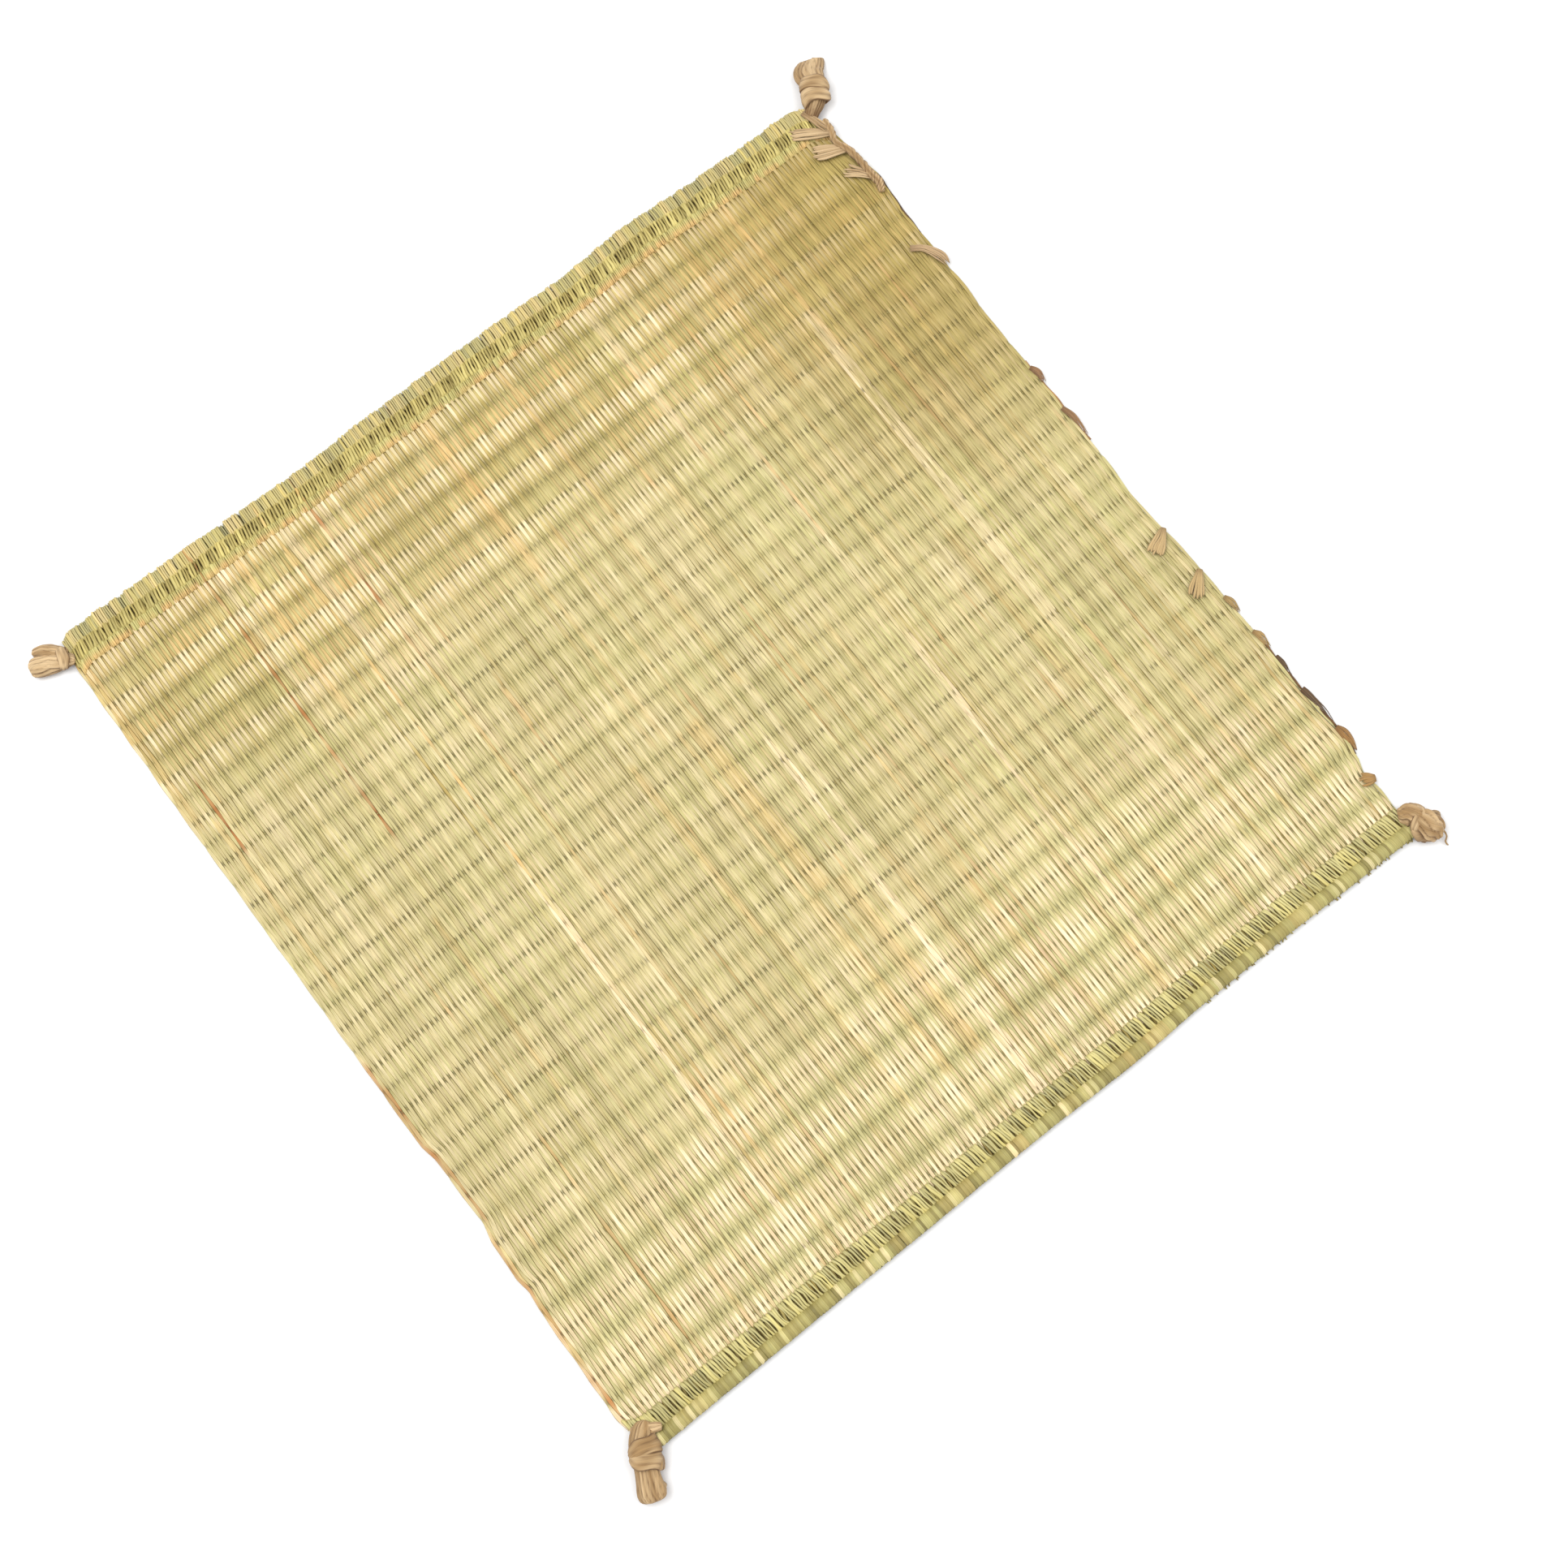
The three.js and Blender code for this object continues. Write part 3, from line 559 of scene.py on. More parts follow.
# Stems that stand out by colour: x, how many more on each side, first and last distance from
# the back corner line, colour and amount.
STAINED_STEMS = [
    (-201.8, 0, 0, 210, RUST, 0.75),
    (-282.3, 0, 130, 178, RUST, 0.6),
    (-121.2, 0, 0, 140, RUST, 0.5),
    (-150.5, 0, 0, 420, TAN, 0.5),
    (-162, 0, 60, 300, GOLD, 0.4),
    (-122, 0, 200, 480, TAN, 0.4),
    (-153, 1, 330, 600, CREAM, 0.5),
    (15, 1, 330, 600, CREAM, 0.55),
    (123, 1, 330, 600, CREAM, 0.5),
    (205, 2, 120, 600, CREAM, 0.3),
    (-240, 0, 300, 600, TAN, 0.4),
    (66, 0, 380, 560, RUST, 0.3),
    (-300, 1, 340, 600, RUST, 0.45),
]


def warp_cords():
    """A thin cord along every row: a line across the mat that strays with the row."""
    numbers = np.arange(0, LAST + 1)[:, None]
    share = np.linspace(0.001, 0.999, 90)[None, :]
    straight = HALF_LENGTH - np.interp(numbers, ROW_NUMBERS, ROW_PLACES)
    y = straight - row_wave(across(straight, share), numbers)
    path = np.stack([across(y, share), y, np.full(y.shape, MIDDLE)], -1)
    size = np.full(y.shape, CORD_RADIUS)
    grid = rings_on(path, size, size, DIAMOND)
    return mesh_of("warp_cords", grid, mixed(OLIVE, MEADOW, 0.5), WARP)


def inner_sheet():
    """The hidden middle of the weave: a grid of no thickness just under the cords and a
    little inside the outline, with a low cosine ripple of two rows."""
    share = np.linspace(0.004, 0.996, 120)[None, :]
    place = np.linspace(0, 1, 150)[:, None]
    x = across(HALF_LENGTH * (1 - 2 * place), share)
    back = HALF_LENGTH + rim_out(BACK_RIM, x) - SHEET_INSET
    front = -HALF_LENGTH - rim_out(FRONT_RIM, x) + SHEET_INSET
    y = back + (front - back) * place
    x = across(y, share)
    z = MIDDLE - SHEET_DROP + 0.1 * np.cos(TAU * y / (2 * ROW_PITCH))
    top = np.stack([x, y, z], -1)
    index = np.arange(x.size).reshape(x.shape)
    quads = np.stack([index[:-1, :-1], index[1:, :-1], index[1:, 1:], index[:-1, 1:]], -1)
    mesh = bpy.data.meshes.new("inner_sheet")
    mesh.from_pydata((top.reshape(-1, 3) * MM).tolist(), [], quads.reshape(-1, 4).tolist())
    mesh.materials.append(INNER_GRASS_AND_SHADE)
    piece = bpy.data.objects.new("inner_sheet", mesh)
    scene.collection.objects.link(piece)
    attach(piece, "root")
    return piece


# Bound borders. Each table row is (distance inside the rim, height of the rib's middle).
OUTER_RIBS = np.array([
    (12.4, 2.7), (11.4, 3.5), (9.6, 4.3), (7, 4.9), (4.4, 5), (2.2, 4.4), (0.9, 3.3), (0.7, 1.9),
    (1.9, 1),
])
SLIT_RIBS = np.array([
    (9.4, 2.9), (10.6, 3.9), (12.6, 4.5), (15, 4.7), (17.4, 4.5), (19.4, 4.1), (21.2, 3.4),
])
INNER_RIBS = np.array([(19.6, 3.3), (21.2, 3.7), (23.2, 3.5), (25.2, 2.9), (27.4, 2.3)])
LEANING_RIBS = np.array([
    (21.4, 2.4), (19.4, 3.3), (17, 3.8), (14, 4.3), (11.4, 4.3), (9.6, 3.9), (8.4, 3.2),
])
ROLL_RIBS = np.array([
    (9.6, 3.2), (8.9, 4.4), (7.8, 5.6), (6.3, 6.5), (4.7, 6.7), (3, 6.3), (1.7, 5.3), (0.9, 3.9),
    (0.9, 2.4), (2.1, 1.1),
])
BACK = (BACK_RIM, 1)  # rim and outward direction in y
FRONT = (FRONT_RIM, -1)


def ribs(
    name, table, side, colour, pitch, lean, half, rise,
    ragged=0, slit=0, loose=0.8, profile=ROUND_PROFILE, shade=ROUND_SHADE,
):
    """Ribs side by side along a bound edge, one every pitch millimetres.

    A rib follows the table from inside the border over its crown to the rim. Its place along
    the edge slides by lean times the share s of the way, less a half. Neighbours in one clump
    reach alike, by ragged millimetres. Its half width drops by up to slit times e to the minus
    square of (s - 0.5) / 0.26, so that the gaps between ribs open half way. loose scales how
    far ribs stray sideways and in height, and rise is half the thickness of a rib.
    """
    rim, outward = side
    count = int(2 * HALF_WIDTH / pitch)
    inside, high = table.T
    steps = np.linspace(0, 1, len(table))[None, :]
    clump = np.repeat(np.arange(count), chance.integers(2, 6, count))[:count]
    reach = chance.normal(0, 1, count)[clump][:, None]
    sway = chance.normal(0, 1, count)[clump][:, None]
    jitter = chance.normal(0, 1, (count, 1))
    stray = 0.12 * loose * chance.normal(0, 1, (count, 1))
    share = (np.arange(count)[:, None] + 0.5 + stray) / count
    edge = across(np.full_like(share, outward * HALF_LENGTH), share)
    bend = 0.08 * sway * np.sin(np.pi * steps) + 0.12 * smooth_noise((count, len(table)), 3, 1)
    x = edge + lean * (steps - 0.5) + bend * loose * pitch
    near_rim = ramp(-inside, -9, -1)[None, :]
    out = rim_out(rim, x) + (0.6 * reach + 0.4 * jitter) * ragged * near_rim
    y = outward * (HALF_LENGTH + out - inside[None, :])
    z = high[None, :] + (0.1 * reach + 0.1 * jitter) * loose
    path = np.stack([x, y, np.clip(z, 0.75, None)], -1)
    opening = np.exp(-(((steps - 0.5) / 0.26) ** 2))
    wide = half * (1 + 0.1 * jitter) * (1 - slit * chance.random((count, 1)) * opening)
    grid = rings_on(path, wide, np.full_like(wide, rise), profile)
    tone = colour(*np.broadcast_arrays(x, steps, reach, jitter))
    return mesh_of(name, grid, tone[:, :, None] * shade[:, None], RIM_GRASS)


def outer_tone(x, along, reach, jitter):
    """Grey-green to olive with some tan, darker at the inner ends: painted shade where they lie under the
    next ribs.
    """
    tone = mixed(SAGE, OLIVE, np.clip(0.3 + 0.3 * jitter, 0, 1))
    tone = mixed(tone, TAN, np.clip(0.16 + 0.1 * reach, 0, 0.3))
    tone = mixed(tone, CREAM, np.clip(0.06 * reach, 0, 0.1))
    tone = stained(tone, x)
    bright = 0.97 + 0.05 * reach + 0.14 * jitter - 0.3 * (along < 0.12)
    return tone * np.clip(bright, 0.5, 1.3)[..., None]


def slit_tone(x, along, reach, jitter):
    """Olive, paler towards the weave."""
    tone = mixed(OLIVE, MEADOW, np.clip(0.3 + 0.35 * along + 0.25 * jitter, 0, 1))
    tone = stained(mixed(tone, GOLD, 0.35), x)
    bright = 0.92 + 0.1 * along + 0.08 * reach + 0.1 * jitter
    return tone * np.clip(bright, 0.5, 1.3)[..., None]


def under_tone(x, along, reach, jitter):
    """Deep olive and a little darker still, painted shade for the ribs that lie under the others."""
    tone = mixed(DEEP_OLIVE, OLIVE, np.clip(0.2 + 0.25 * jitter, 0, 1))
    return tone * np.clip(0.8 + 0.1 * reach, 0.5, 1.3)[..., None]


def inner_tone(x, along, reach, jitter):
    """Olive that turns tan at the inner end, where the border is bound down."""
    tone = mixed(OLIVE, MEADOW, np.clip(0.5 + 0.25 * jitter, 0, 1))
    tone = mixed(tone, TAN, np.clip(ramp(along, 0.35, 0.75) * (0.6 + 0.3 * reach), 0, 0.9))
    tone = stained(tone, x)
    return tone * np.clip(0.98 + 0.05 * jitter, 0.5, 1.3)[..., None]


def leaning_tone(x, along, reach, jitter):
    """Grey-green that turns olive towards the roll."""
    tone = mixed(SAGE, OLIVE, np.clip(0.2 + 0.5 * along + 0.15 * jitter, 0, 1))
    return tone * np.clip(1.05 + 0.1 * reach + 0.12 * jitter, 0.6, 1.35)[..., None]


def roll_tone(x, along, reach, jitter):
    """Olive, yellow-green and tan ribs, some of them pale, darker where they turn under as painted shade."""
    tone = mixed(OLIVE, MEADOW, np.clip(0.3 + 0.5 * jitter, 0, 1))
    tone = mixed(tone, TAN, np.clip(0.2 * reach, 0, 0.4))
    tone = mixed(tone, CREAM, ramp(jitter, 1.0, 2.0) * 0.4)
    return tone * (0.82 + 0.11 * jitter + 0.05 * reach - 0.4 * ramp(along, 0.68, 1))[..., None]


def stained(tone, x):
    """The colours of the stained stems that start at the back border, carried on over it."""
    for place, more, first, _, colour, amount in STAINED_STEMS:
        if first == 0:
            tone = mixed(tone, colour, (np.abs(x - place) < more + 0.6) * amount * 0.8)
    return tone


def ragged_tips():
    """Short cut tips under the front rim: thin cones that end 0.2 to 1.2 mm outside it."""
    count = 40
    x = np.sort(chance.uniform(120, 285, count))[:, None]
    steps = np.array([0, 0.5, 1])[None, :]
    reach = chance.uniform(0.2, 1.2, (count, 1))
    base = -HALF_LENGTH - rim_out(FRONT_RIM, x) + 1.6
    path = np.stack([
        x + chance.normal(0, 0.8, (count, 1)) * steps,
        base - (1.6 + reach) * steps,
        np.broadcast_to(1.1 - 0.3 * steps, (count, 3)),
    ], -1)
    size = np.broadcast_to(0.75 * (1 - 0.6 * steps), (count, 3))
    grid = rings_on(path, size, size * 0.8, DIAMOND)
    tone = mixed(OLIVE, DEEP_OLIVE, chance.random((count, 1, 1)))
    return mesh_of("rim_tips", grid, tone * 0.9, RIM_GRASS)


# Jute


def spline(rows, count):
    """A smooth line through table rows: the Catmull-Rom cubic between each two, with the end
    rows doubled."""
    table = np.asarray(rows, float)
    padded = np.concatenate([table[:1], table, table[-1:]])
    place = np.linspace(0, len(table) - 1, count)
    k = np.minimum(place.astype(int), len(table) - 2)
    t = (place - k)[:, None]
    p0, p1, p2, p3 = (padded[k + j] for j in range(4))
    return 0.5 * (
        2 * p1
        + (p2 - p0) * t
        + (2 * p0 - 5 * p1 + 4 * p2 - p3) * t**2
        + (3 * p1 - p0 - 3 * p2 + p3) * t**3
    )


def frame_along(rows, count):
    """Middle line, sideways and upward directions, width, height and length so far along a
    smooth line through rows of (x, y, low, wide, high)."""
    x, y, low, wide, high = spline(rows, count).T
    line = np.stack([x, y, low + high / 2], -1)
    ahead = np.gradient(line, axis=0)
    step = np.linalg.norm(ahead, axis=-1, keepdims=True)
    ahead = ahead / step
    aside = np.stack([ahead[:, 1], -ahead[:, 0], np.zeros_like(x)], -1)
    aside /= np.linalg.norm(aside, axis=-1, keepdims=True)
    return line, aside, np.cross(aside, ahead), wide[:, None], high[:, None], np.cumsum(step)[:, None]


def fibre_tone(light, streak, crease, under):
    """Tan to light by light plus streak; painted shade in the creases and on sides facing down."""
    tone = mixed(JUTE_TAN, JUTE_LIGHT, np.clip(light + streak, 0, 1.3))
    return mixed(tone, JUTE_DARK, np.clip(crease + 0.75 * under, 0, 0.95))


def hank(
    rows, around=64, along=44, ridges=13, depth=0.1, twist=0.0, flare=0.6, light=0.5,
    dark_end=0.0, slant=0.0,
):
    """A hank of fibre: oval rings carried along a smooth line through the rows.

    A ring is made fuller by depth times a folded sine, with that many ridges round the hank
    and turned by twist from end to end, and by two broad sines. Both ends close like a
    quarter circle over 0.11 flare of the length. The last end is pulled on by slant
    millimetres on its right side and back on its left side.
    """
    line, aside, up, wide, high, length = frame_along(rows, along)
    t = np.linspace(0, 1, along)[:, None]
    angle = TAU * np.arange(around)[None, :] / around
    wander = smooth_noise((1, along), 6, 0.1).T
    turn = angle + twist * t + wander
    folds = np.abs(np.sin(ridges / 2 * turn)) ** 0.6
    broad = 0.5 * np.sin(3 * turn + 2.1) + 0.5 * np.sin(5 * turn + 5 * t)
    full = 1 + depth * (folds - 0.7) + 0.9 * depth * broad
    ends = np.minimum(t, 1 - t) * 2
    close = np.sqrt(np.clip(1 - (1 - np.clip(ends / (0.22 * flare), 0, 1)) ** 2, 0.02, 1))
    ring = (
        line[:, None]
        + aside[:, None] * (wide / 2 * np.cos(angle) * full * close)[..., None]
        + up[:, None] * (high / 2 * np.sin(angle) * full * close)[..., None]
    )
    ahead = (line[-1] - line[-3]) / np.linalg.norm(line[-1] - line[-3])
    ring = ring + (slant * ramp(t, 0.5, 1) * np.cos(angle))[..., None] * ahead
    ring[..., 2] = np.maximum(ring[..., 2], 0.05)
    streak = smooth_noise((1, around), around // 2, 0.35) + 1.5 * wander
    # Painted shade: dark in the creases, on the underside and, by dark_end, towards the first end at the
    # knot's neck.
    crease = np.clip(0.75 - folds - 0.35 * broad, 0, 1)
    under = 1 - ramp(np.sin(angle), -0.6, 0.75) + dark_end * ramp(1 - t, 0.6, 1)
    spread = (angle / TAU * (wide + high) * 1.5, length)
    return ring, fibre_tone(light, streak, crease, under), spread


def band(x, y, z, turn, lean, across_half, tall, thick, light=0.6, around=64, section=20, ridges=7):
    """A wide wrap of fibre: an upright ring of the half sizes across_half and tall, square to
    the direction turn + lean, with a pillow section of half width thick whose outside is
    ridged by a sine."""
    a = TAU * np.arange(around)[:, None] / around
    b = TAU * np.arange(section)[None, :] / section
    swell = 1 + 0.2 * np.sin(a + z) + 0.12 * np.sin(3 * a + y)
    folds = np.abs(np.sin(ridges / 2 * b + 1.2 * np.sin(a + x)))
    out = 1.5 * np.cos(b) * (1 + 0.22 * (folds - 0.6)) * (1 + 0.2 * np.sin(2 * a + y))
    side = thick * swell * np.sin(b) + 0.9 * np.sin(2 * a + x)
    ring_x = (across_half - 1 + out) * np.cos(a)
    ring_z = (tall - 1 + out) * np.sin(a)
    heading = np.radians(turn + lean + 90)
    px = x + ring_x * np.cos(heading) - side * np.sin(heading)
    py = y + ring_x * np.sin(heading) + side * np.cos(heading)
    ring = np.stack([px, py, np.maximum(z + ring_z, 0.05)], -1)
    # Painted shade: dark in the folds, along both sides where it meets the next wrap, and underneath.
    crease = np.clip(0.55 - folds, 0, 1) + 0.9 * ramp(np.abs(np.sin(b)), 0.75, 1)
    streak = 0.3 * np.sin(3 * a + 2 * b) + smooth_noise((1, section), section // 2, 0.25)
    spread = np.broadcast_arrays(b / TAU * 4 * thick, a * (across_half + tall) / 2)
    return ring, fibre_tone(light, streak, crease, 1 - ramp(np.sin(a), -0.5, 0.7)), spread


def strands(rows, count, light, fray=1.5, dye=None):
    """A fan of loose strands that lie side by side over the width of the rows.

    Strand s from -1 to 1 runs at s times half the width from the middle line, on a low arch
    of height sqrt(1 - s^2), with a tapered end that runs on by up to fray millimetres.
    """
    line, aside, up, wide, high, length = frame_along(rows, 12)
    number = np.arange(count)[:, None, None]
    s = (number + 0.5 + chance.normal(0, 0.25, (count, 1, 1))) / count * 2 - 1
    t = np.linspace(0, 1, 12)[None, :, None]
    sway = 0.5 * smooth_noise((count, 12), 3, 1)[..., None] * t
    arch = np.sqrt(np.clip(1 - s * s, 0, 1))
    ahead = (line[-1] - line[-2]) / np.linalg.norm(line[-1] - line[-2])
    more = fray * chance.uniform(-0.6, 1, (count, 1, 1)) * t**3
    path = line + aside * (s * wide / 2 + sway) + up * high * (0.35 * arch - 0.1) + ahead * more
    path = path + up * 0.25 * chance.normal(0, 1, (count, 1, 1)) * t
    path[..., 2] = np.maximum(path[..., 2], 0.5)
    taper = 1 - 0.65 * t[..., 0] ** 6
    half = wide[None, :, 0] / count * (0.85 + 0.3 * chance.random((count, 1)))
    half = np.maximum(half, 0.32) * taper
    ring = rings_on(path, half, np.maximum(0.55 * half, 0.3), ROUND_PROFILE)
    pale = np.clip(light + 0.35 * chance.normal(0, 1, (count, 1)), 0, 1.4)
    tone = mixed(JUTE_TAN, JUTE_LIGHT, np.broadcast_to(pale, half.shape))
    if dye is not None:
        tone = mixed(tone, dye, 0.8)
    # Painted shade: darker towards the first end, where the strands come out of the knot, cord or edge.
    tone = mixed(tone, JUTE_DARK, 0.45 * (1 - ramp(t[..., 0], 0, 0.4)))
    sides = np.arange(len(ROUND_PROFILE)) + 9 * number
    spread = (sides * 0.4, length)
    return ring, tone[:, :, None] * ROUND_SHADE[:, None], spread


def joined(name, skins, nodes, closed=()):
    """Several skins as one piece that stands for the given solids. Skins in closed are rings
    that meet end to end, so the first ring is repeated at the end."""
    pieces = []
    for k, (ring, tone, spread) in enumerate(skins):
        if k in closed:
            ring, tone = (np.concatenate([part, part[:1]]) for part in (ring, tone))
            spread = tuple(np.concatenate([part, part[-1:] + 1]) for part in spread)
        if ring.ndim == 3:
            ring, tone, spread = ring[None], tone[None], tuple(part[None] for part in spread)
        label = name if k == 0 else f"{name}_{k}"
        pieces.append(mesh_of(label, ring, tone, JUTE, spread))
    with bpy.context.temp_override(active_object=pieces[0], selected_editable_objects=pieces):
        bpy.ops.object.join()
    if nodes:
        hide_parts(*nodes)


# Each knot is its hanks, with rows of (x, y, low, wide, high), and then its wraps, each one
# (x, y, z, turn, lean, half size across, half height, half width, light).
ON_MAT = 3.7
KNOTS = {
    "corner_knot_back_right": (
        [
            dict(rows=[
                (297.5, 299, ON_MAT, 8, 2.8), (302.5, 303, 2.4, 10, 7), (307.6, 307, 0.4, 12.6, 11.2),
                (312.6, 313.5, 0.1, 15.4, 13.2), (316.2, 320.5, 0.1, 17.4, 12),
                (318.8, 327.5, 0.1, 19.6, 9), (323.4, 332.6, 0.1, 18.4, 6), (326, 335.6, 0.1, 16.6, 4),
            ], ridges=17, depth=0.12, twist=0.5, flare=0.25, light=0.42, dark_end=0.9, slant=3.2),
        ],
        [
            (310.2, 308.8, 7.2, 50, 16, 9.3, 6.6, 5.2, 0.7),
            (314.8, 316.2, 7.6, 56, -12, 9.4, 6.8, 4.6, 0.35),
        ],
    ),
    "corner_knot_back_left": (
        [
            dict(rows=[
                (-299, 300.5, 3.7, 6.4, 4), (-304, 306, 2.4, 8.4, 7.2), (-310, 311.8, 0.6, 9, 9),
                (-316.8, 315.6, 0.1, 6, 6.4),
            ], ridges=11, depth=0.12, flare=0.8, light=0.55),
            dict(rows=[
                (-297, 295, ON_MAT, 6.8, 3), (-304, 298.6, 1.6, 10, 8.4), (-311, 301.6, 0.2, 12, 10.4),
                (-318.6, 305.4, 0.1, 13.6, 10), (-323.4, 307.2, 0.1, 11, 8),
            ], ridges=11, depth=0.12, twist=0.5, flare=0.7, light=1.1),
        ],
        [(-302.6, 299.6, 6.2, 148, 8, 7.4, 4.8, 3.2, 1.0)],
    ),
    "corner_knot_front_left": (
        [
            dict(rows=[
                (-288, -300, 4.6, 11, 3), (-295, -308, 1.8, 15.4, 8.8), (-299, -315, 0.1, 16.4, 12),
                (-302, -321, 0.1, 14.2, 10.8), (-305, -327, 0.1, 14.4, 10.6), (-308.3, -335, 0.1, 17, 11.4),
                (-310, -340, 0.4, 13, 9),
            ], ridges=17, depth=0.11, twist=-0.6, flare=0.9, light=0.42),
            dict(rows=[
                (-297, -317.4, 2, 7, 7), (-295.2, -322, 0.4, 7.6, 9.4), (-298.4, -327.6, 1, 6.4, 7.6),
            ], ridges=7, depth=0.08, flare=1.4, light=0.1, around=36, along=24),
            dict(rows=[
                (-308, -331, 1, 9, 8), (-303.6, -336, 0.1, 9.6, 8.6), (-302.4, -338, 0.6, 6.4, 6.8),
            ], ridges=7, depth=0.06, flare=1.6, light=0.7, around=36, along=24),
            dict(rows=[
                (-299.2, -300.6, 3.2, 6, 2.8), (-292.8, -303.6, 4.2, 7, 3), (-285.4, -307, 5.8, 6, 3),
                (-282, -309, 6.6, 4, 2.6),
            ], ridges=7, depth=0.1, flare=0.6, light=0.75, around=36, along=30),
        ],
        [
            (-297.6, -312.2, 7.4, -118, 20, 9.2, 6.6, 4.8, 0.3),
            (-301, -318.6, 7.4, -116, -16, 8.9, 6.6, 4.4, 0.5),
        ],
    ),
    "corner_knot_front_right": (
        [
            dict(rows=[
                (284.4, -297, ON_MAT, 7.6, 3.4), (288.6, -299.6, 3, 13.2, 8.6), (291.8, -303, 0.6, 14.4, 12),
                (293.4, -306.6, 0.6, 12.8, 11.6),
            ], ridges=9, depth=0.2, twist=0.3, flare=0.7, light=0.35),
            dict(rows=[
                (291, -305.6, 1, 14.4, 11.2), (293, -310.8, 0.1, 18.8, 14.2), (294.6, -315, 0.1, 18.6, 13.4),
                (296, -318.6, 0.1, 15.2, 10.6), (297, -321.2, 0.4, 10.4, 7.2),
            ], ridges=11, depth=0.26, twist=0.7, flare=0.9, light=0.35),
            dict(rows=[
                (299.6, -315.4, 4.4, 2, 2), (300.3, -319.6, 3.4, 1.3, 1.3), (299.9, -324.2, 2.4, 1.1, 1.1),
                (297.2, -326.6, 1.4, 1.1, 1.1), (297.4, -329.4, 0.4, 0.9, 0.9),
            ], ridges=3, depth=0.1, flare=0.6, light=0.9, around=12, along=18),
        ],
        [(291.4, -306, 6.9, -62, 12, 7.8, 5.8, 3.2, 0.8)],
    ),
}

# Cord, fans and ties on the tied edge, as rows of (x, y, low, wide, high).
EDGE_CORD = [
    (304.9, 293.6, 3.9, 3.4, 3.4), (303.7, 284.5, 4, 4.6, 4), (300.7, 275.5, 4, 4.2, 4),
    (303.7, 265.5, 4, 5, 4.2), (304.7, 253.5, 4, 4.6, 4), (304.3, 241.5, 4, 5.2, 4.2),
    (304.9, 234, 3.9, 5.2, 3.8), (302.1, 227.5, 3.8, 3.6, 2.4),
]
CORD_FANS = [
    [(303.6, 282, 4.2, 4.4, 3.4), (292, 290.5, 3.9, 8, 2.6), (281.5, 297.5, 4.6, 9.2, 1.6)],
    [(304.5, 266.5, 4.2, 4.4, 3.4), (294, 272.5, 3.8, 8.8, 2.6), (285.5, 277, 3.8, 11.2, 1.6)],
    [(305.6, 238.5, 4.2, 4.4, 3.4), (300.5, 247, 3.8, 6, 2.6), (294, 254.5, 3.8, 8.8, 1.6)],
]
CORD_STRAND = [
    (296.6, 306, 5.6, 4.4, 1.4), (299.5, 295.4, 6, 5.4, 1.8), (302.1, 285.6, 5.4, 4.4, 1.8),
]
EDGE_TIES = [
    [
        (291, 184, 3.8, 4, 1.6), (298, 178.5, 3.8, 4.4, 2.6), (303, 168, 3.4, 6.4, 4),
        (303.6, 162, 3, 4, 2.4),
    ],
    [(298.6, 70, 2.2, 2.8, 2.8), (300.6, 64.5, 1, 4, 4.4), (299.4, 58, 1.2, 2.4, 2.8)],
    [
        (296.8, 35.5, 2.4, 3.2, 2.8), (298.6, 28, 1, 3.8, 4.4), (299, 20, 0.8, 3.2, 3.2),
        (297.6, 13, 0.8, 1.8, 2),
    ],
    [(294.2, -67.5, 3.6, 3.4, 2.4), (286.5, -72.8, 3.7, 8.4, 2.2), (279, -77, 3.7, 12.4, 1.6)],
    [(294, -102.5, 3.6, 3.4, 2.4), (287.5, -108, 3.7, 7.6, 2.2), (280.5, -114, 3.7, 10.8, 1.6)],
    [(294.3, -125.3, 2.4, 2.4, 2), (296, -131, 0.8, 4.4, 3.4), (295.9, -137, 0.8, 2.4, 2)],
    [(293.6, -153.6, 2.4, 2.4, 2), (295.4, -159.2, 0.8, 4.6, 3.4), (295.2, -166.4, 0.8, 2.4, 2)],
    [(294.8, -174.5, 1, 2.4, 2), (294.8, -181, 0.6, 3.4, 2.8), (293.9, -187.5, 0.6, 2, 1.8)],
    [
        (293, -200.4, 1.4, 3.6, 2.8), (294, -207.5, 0.6, 3.8, 3.4), (294.2, -218, 0.6, 2.8, 2.4),
        (293.9, -227, 0.6, 2, 1.8),
    ],
    [
        (293.4, -231.8, 1, 3.2, 2.4), (294.6, -237.2, 0.6, 6, 3), (294.4, -244, 0.6, 5.2, 2.4),
        (293, -249.8, 0.6, 2.6, 1.6),
    ],
    [(290, -271, 3, 4, 2.6), (286.4, -269.2, 3.7, 7.2, 2.4), (282.6, -267.4, 3.7, 8, 1.6)],
]
# Strands and colour of each tie end, in the order of the table above. The near-black brown of ties 8 and 9,
# which lie along the edge, is painted shade.
TIE_LOOKS = [
    (11, tint(204, 172, 130)), (8, tint(150, 108, 72)), (8, tint(156, 116, 78)),
    (9, tint(206, 176, 124)), (9, tint(200, 170, 116)), (9, tint(180, 150, 94)),
    (9, tint(180, 146, 88)), (8, tint(66, 42, 24)), (8, tint(70, 45, 26)),
    (11, tint(160, 114, 56)), (11, tint(180, 138, 78)),
]
# Thin strands along the tied edge, most of them dark brown, a painted shade along the edge:
# (y at the start, y at the end, colour).
EDGE_STRANDS = [
    (246, 190, tint(96, 72, 44)), (76, 8, tint(170, 128, 80)), (-165, -198, tint(120, 88, 54)),
    (-196, -252, tint(104, 74, 42)),
]


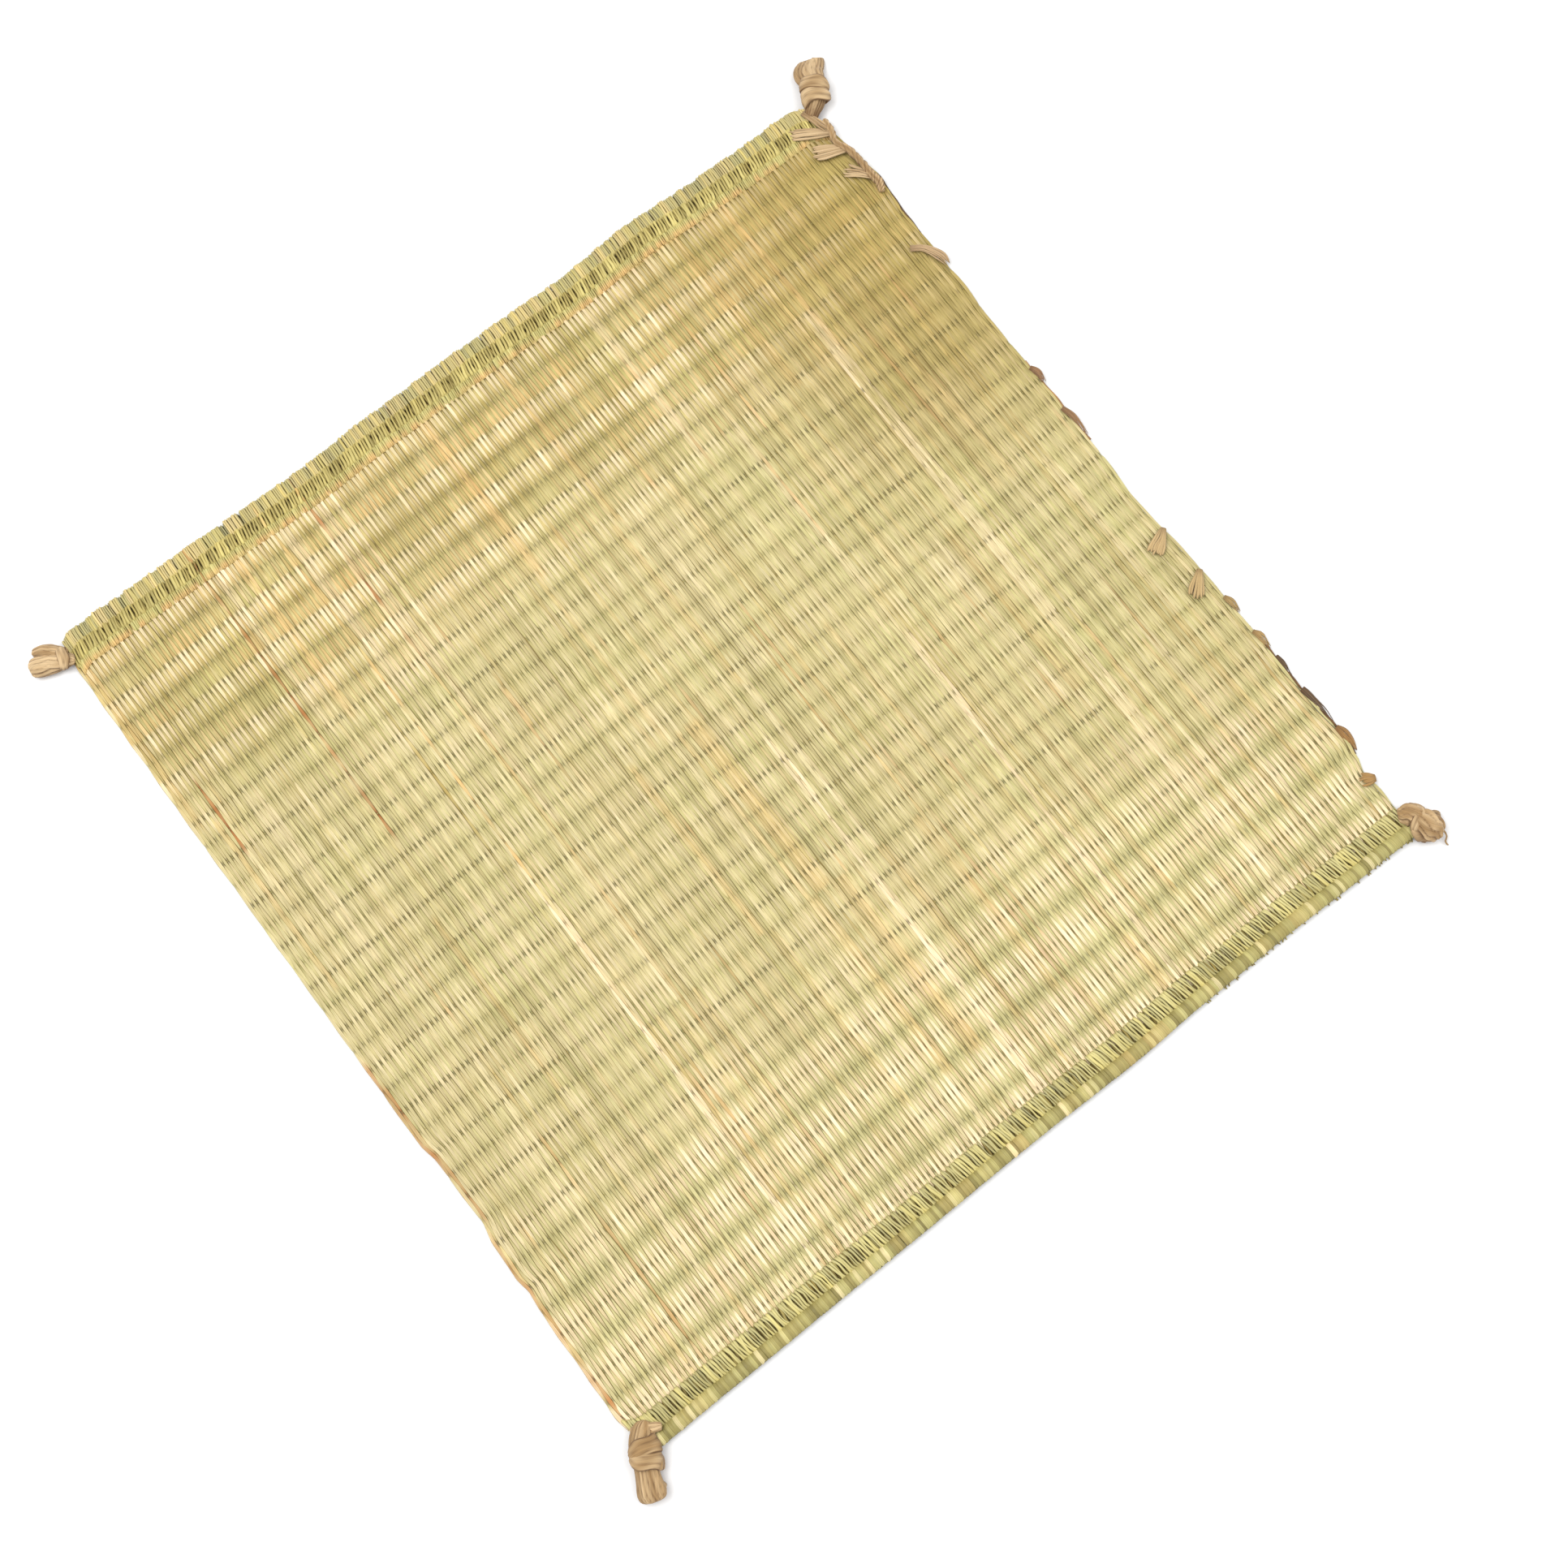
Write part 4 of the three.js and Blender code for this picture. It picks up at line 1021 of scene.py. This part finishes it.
def edge_strands():
    """Thin strands on the outer side of the tied edge, each a line along the edge."""
    made = []
    for start, end, colour in EDGE_STRANDS:
        y = np.linspace(start, end, 40)[None, :]
        x = HALF_WIDTH + eased(RIGHT_EDGE, y) + 0.2 + 0.25 * np.sin(y / 3.1)
        size = 0.7 + 0.25 * np.sin(y / 5.3)
        path = np.stack([x, y, MIDDLE + 0.3 * np.sin(y / 4)], -1)
        ring = rings_on(path, size, size, ROUND_PROFILE)
        tone = colour * (1 + 0.25 * np.sin(y / 2.3))[..., None]
        spread = (np.arange(len(ROUND_PROFILE)), -y[..., None])
        made.append((ring, tone[:, :, None] * ROUND_SHADE[:, None], spread))
    return made


def jute_pieces():
    """All corner knots, the cord on the tied edge and the tie ends."""
    for name, (hanks, bands) in KNOTS.items():
        skins = [hank(**each) for each in hanks] + [band(*each) for each in bands]
        joined(f"{name}_fibre", skins, [name], range(len(hanks), len(skins)))
    cord = hank(
        EDGE_CORD, around=28, along=90, ridges=5, depth=0.22, twist=26, flare=0.2, light=0.45
    )
    fans = [strands(rows, count=9, light=1.1, fray=2.5) for rows in CORD_FANS]
    strand = strands(CORD_STRAND, count=6, light=0.7, fray=1)
    joined("edge_cord_fibre", [cord, *fans, strand], ["edge_cord"])
    for number, (rows, (count, colour)) in enumerate(zip(EDGE_TIES, TIE_LOOKS), 1):
        node = f"edge_tie_{number:02d}"
        joined(f"{node}_fibre", [strands(rows, count, 0.6, 2.2, colour)], [node])
    joined("edge_strands", edge_strands(), [])


# Everything in its place

stems = weave()
cords = warp_cords()
ground = inner_sheet()
borders = [
    ribs("back_inner_ribs", INNER_RIBS, BACK, inner_tone,
         pitch=1.3, lean=-0.8, half=0.8, rise=0.5, slit=0.1, loose=0.7),
    ribs("back_rim_ribs", OUTER_RIBS, BACK, outer_tone,
         pitch=1.35, lean=1, half=0.86, rise=0.8, ragged=0.5, slit=0.1, loose=1),
    ribs("back_slit_ribs", SLIT_RIBS, BACK, slit_tone,
         pitch=2.1, lean=-2.4, half=1.16, rise=0.7, slit=0.5),
    ribs("back_under_ribs", SLIT_RIBS - (0, 0.9), BACK, under_tone,
         pitch=2.7, lean=1.5, half=1, rise=0.6),
    ribs("front_leaning_ribs", LEANING_RIBS, FRONT, leaning_tone,
         pitch=1.9, lean=2.6, half=1.02, rise=0.6, slit=0.5, loose=1.2),
    ribs("front_under_ribs", LEANING_RIBS - (0, 0.8), FRONT, under_tone,
         pitch=2.7, lean=-1.2, half=1, rise=0.6),
    ribs("front_roll_ribs", ROLL_RIBS, FRONT, roll_tone,
         pitch=2.3, lean=0.8, half=1.42, rise=0.44, ragged=0.08, loose=0.2,
         profile=RIB_PROFILE, shade=RIB_SHADE),
    ragged_tips(),
]
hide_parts("mat")
for piece in stems:
    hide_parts("mat")
jute_pieces()

# Floor, light and camera

FLOOR = 6  # half the side of the floor, in metres
floor_mesh = bpy.data.meshes.new("floor")
floor_corners = [(-FLOOR, -FLOOR, 0), (FLOOR, -FLOOR, 0), (FLOOR, FLOOR, 0), (-FLOOR, FLOOR, 0)]
floor_mesh.from_pydata(floor_corners, [], [(0, 1, 2, 3)])
floor = bpy.data.objects.new("floor", floor_mesh)
scene.collection.objects.link(floor)
floor_finish = bpy.data.materials.new("floor_paper")
floor_finish.use_nodes = True
floor_shader = floor_finish.node_tree.nodes["Principled BSDF"]
floor_shader.inputs["Base Color"].default_value = (0.93, 0.93, 0.93, 1)
floor_shader.inputs["Roughness"].default_value = 1
floor_mesh.materials.append(floor_finish)


def placed(right, up, back, place):
    """The matrix of an object whose own axes point right, up and back, and which is at place."""
    rows = [[right[k], up[k], back[k], place[k]] for k in range(3)]
    return Matrix(rows + [[0, 0, 0, 1]])


def lamp(name, place, target, size, power):
    """A square soft light that shines from place towards target."""
    data = bpy.data.lights.new(name, "AREA")
    data.size = size
    data.energy = power
    light = bpy.data.objects.new(name, data)
    back = np.array(place, float) - np.array(target, float)
    back /= np.linalg.norm(back)
    right = np.cross((0, 1, 0.001), back)
    right /= np.linalg.norm(right)
    light.matrix_world = placed(right, np.cross(back, right), back, place)
    scene.collection.objects.link(light)


lamp("key_light", (-0.9, 0.7, 2.6), (0, 0, 0), 1.8, 40)
lamp("fill_light", (1.4, -1.0, 2.4), (0, 0, 0), 2.2, 22)

world = bpy.data.worlds.new("studio")
world.use_nodes = True
backdrop = world.node_tree.nodes["Background"]
backdrop.inputs["Color"].default_value = (1, 1, 1, 1)
backdrop.inputs["Strength"].default_value = 0.8
scene.world = world
scene.view_settings.view_transform = "Standard"

camera_data = bpy.data.cameras.new("camera")
camera_data.lens = CAMERA_LENS
camera_data.sensor_width = CAMERA_SENSOR
camera = bpy.data.objects.new("camera", camera_data)
camera.matrix_world = placed(CAMERA_RIGHT, CAMERA_UP, CAMERA_BACK, CAMERA_PLACE)
scene.collection.objects.link(camera)
scene.camera = camera
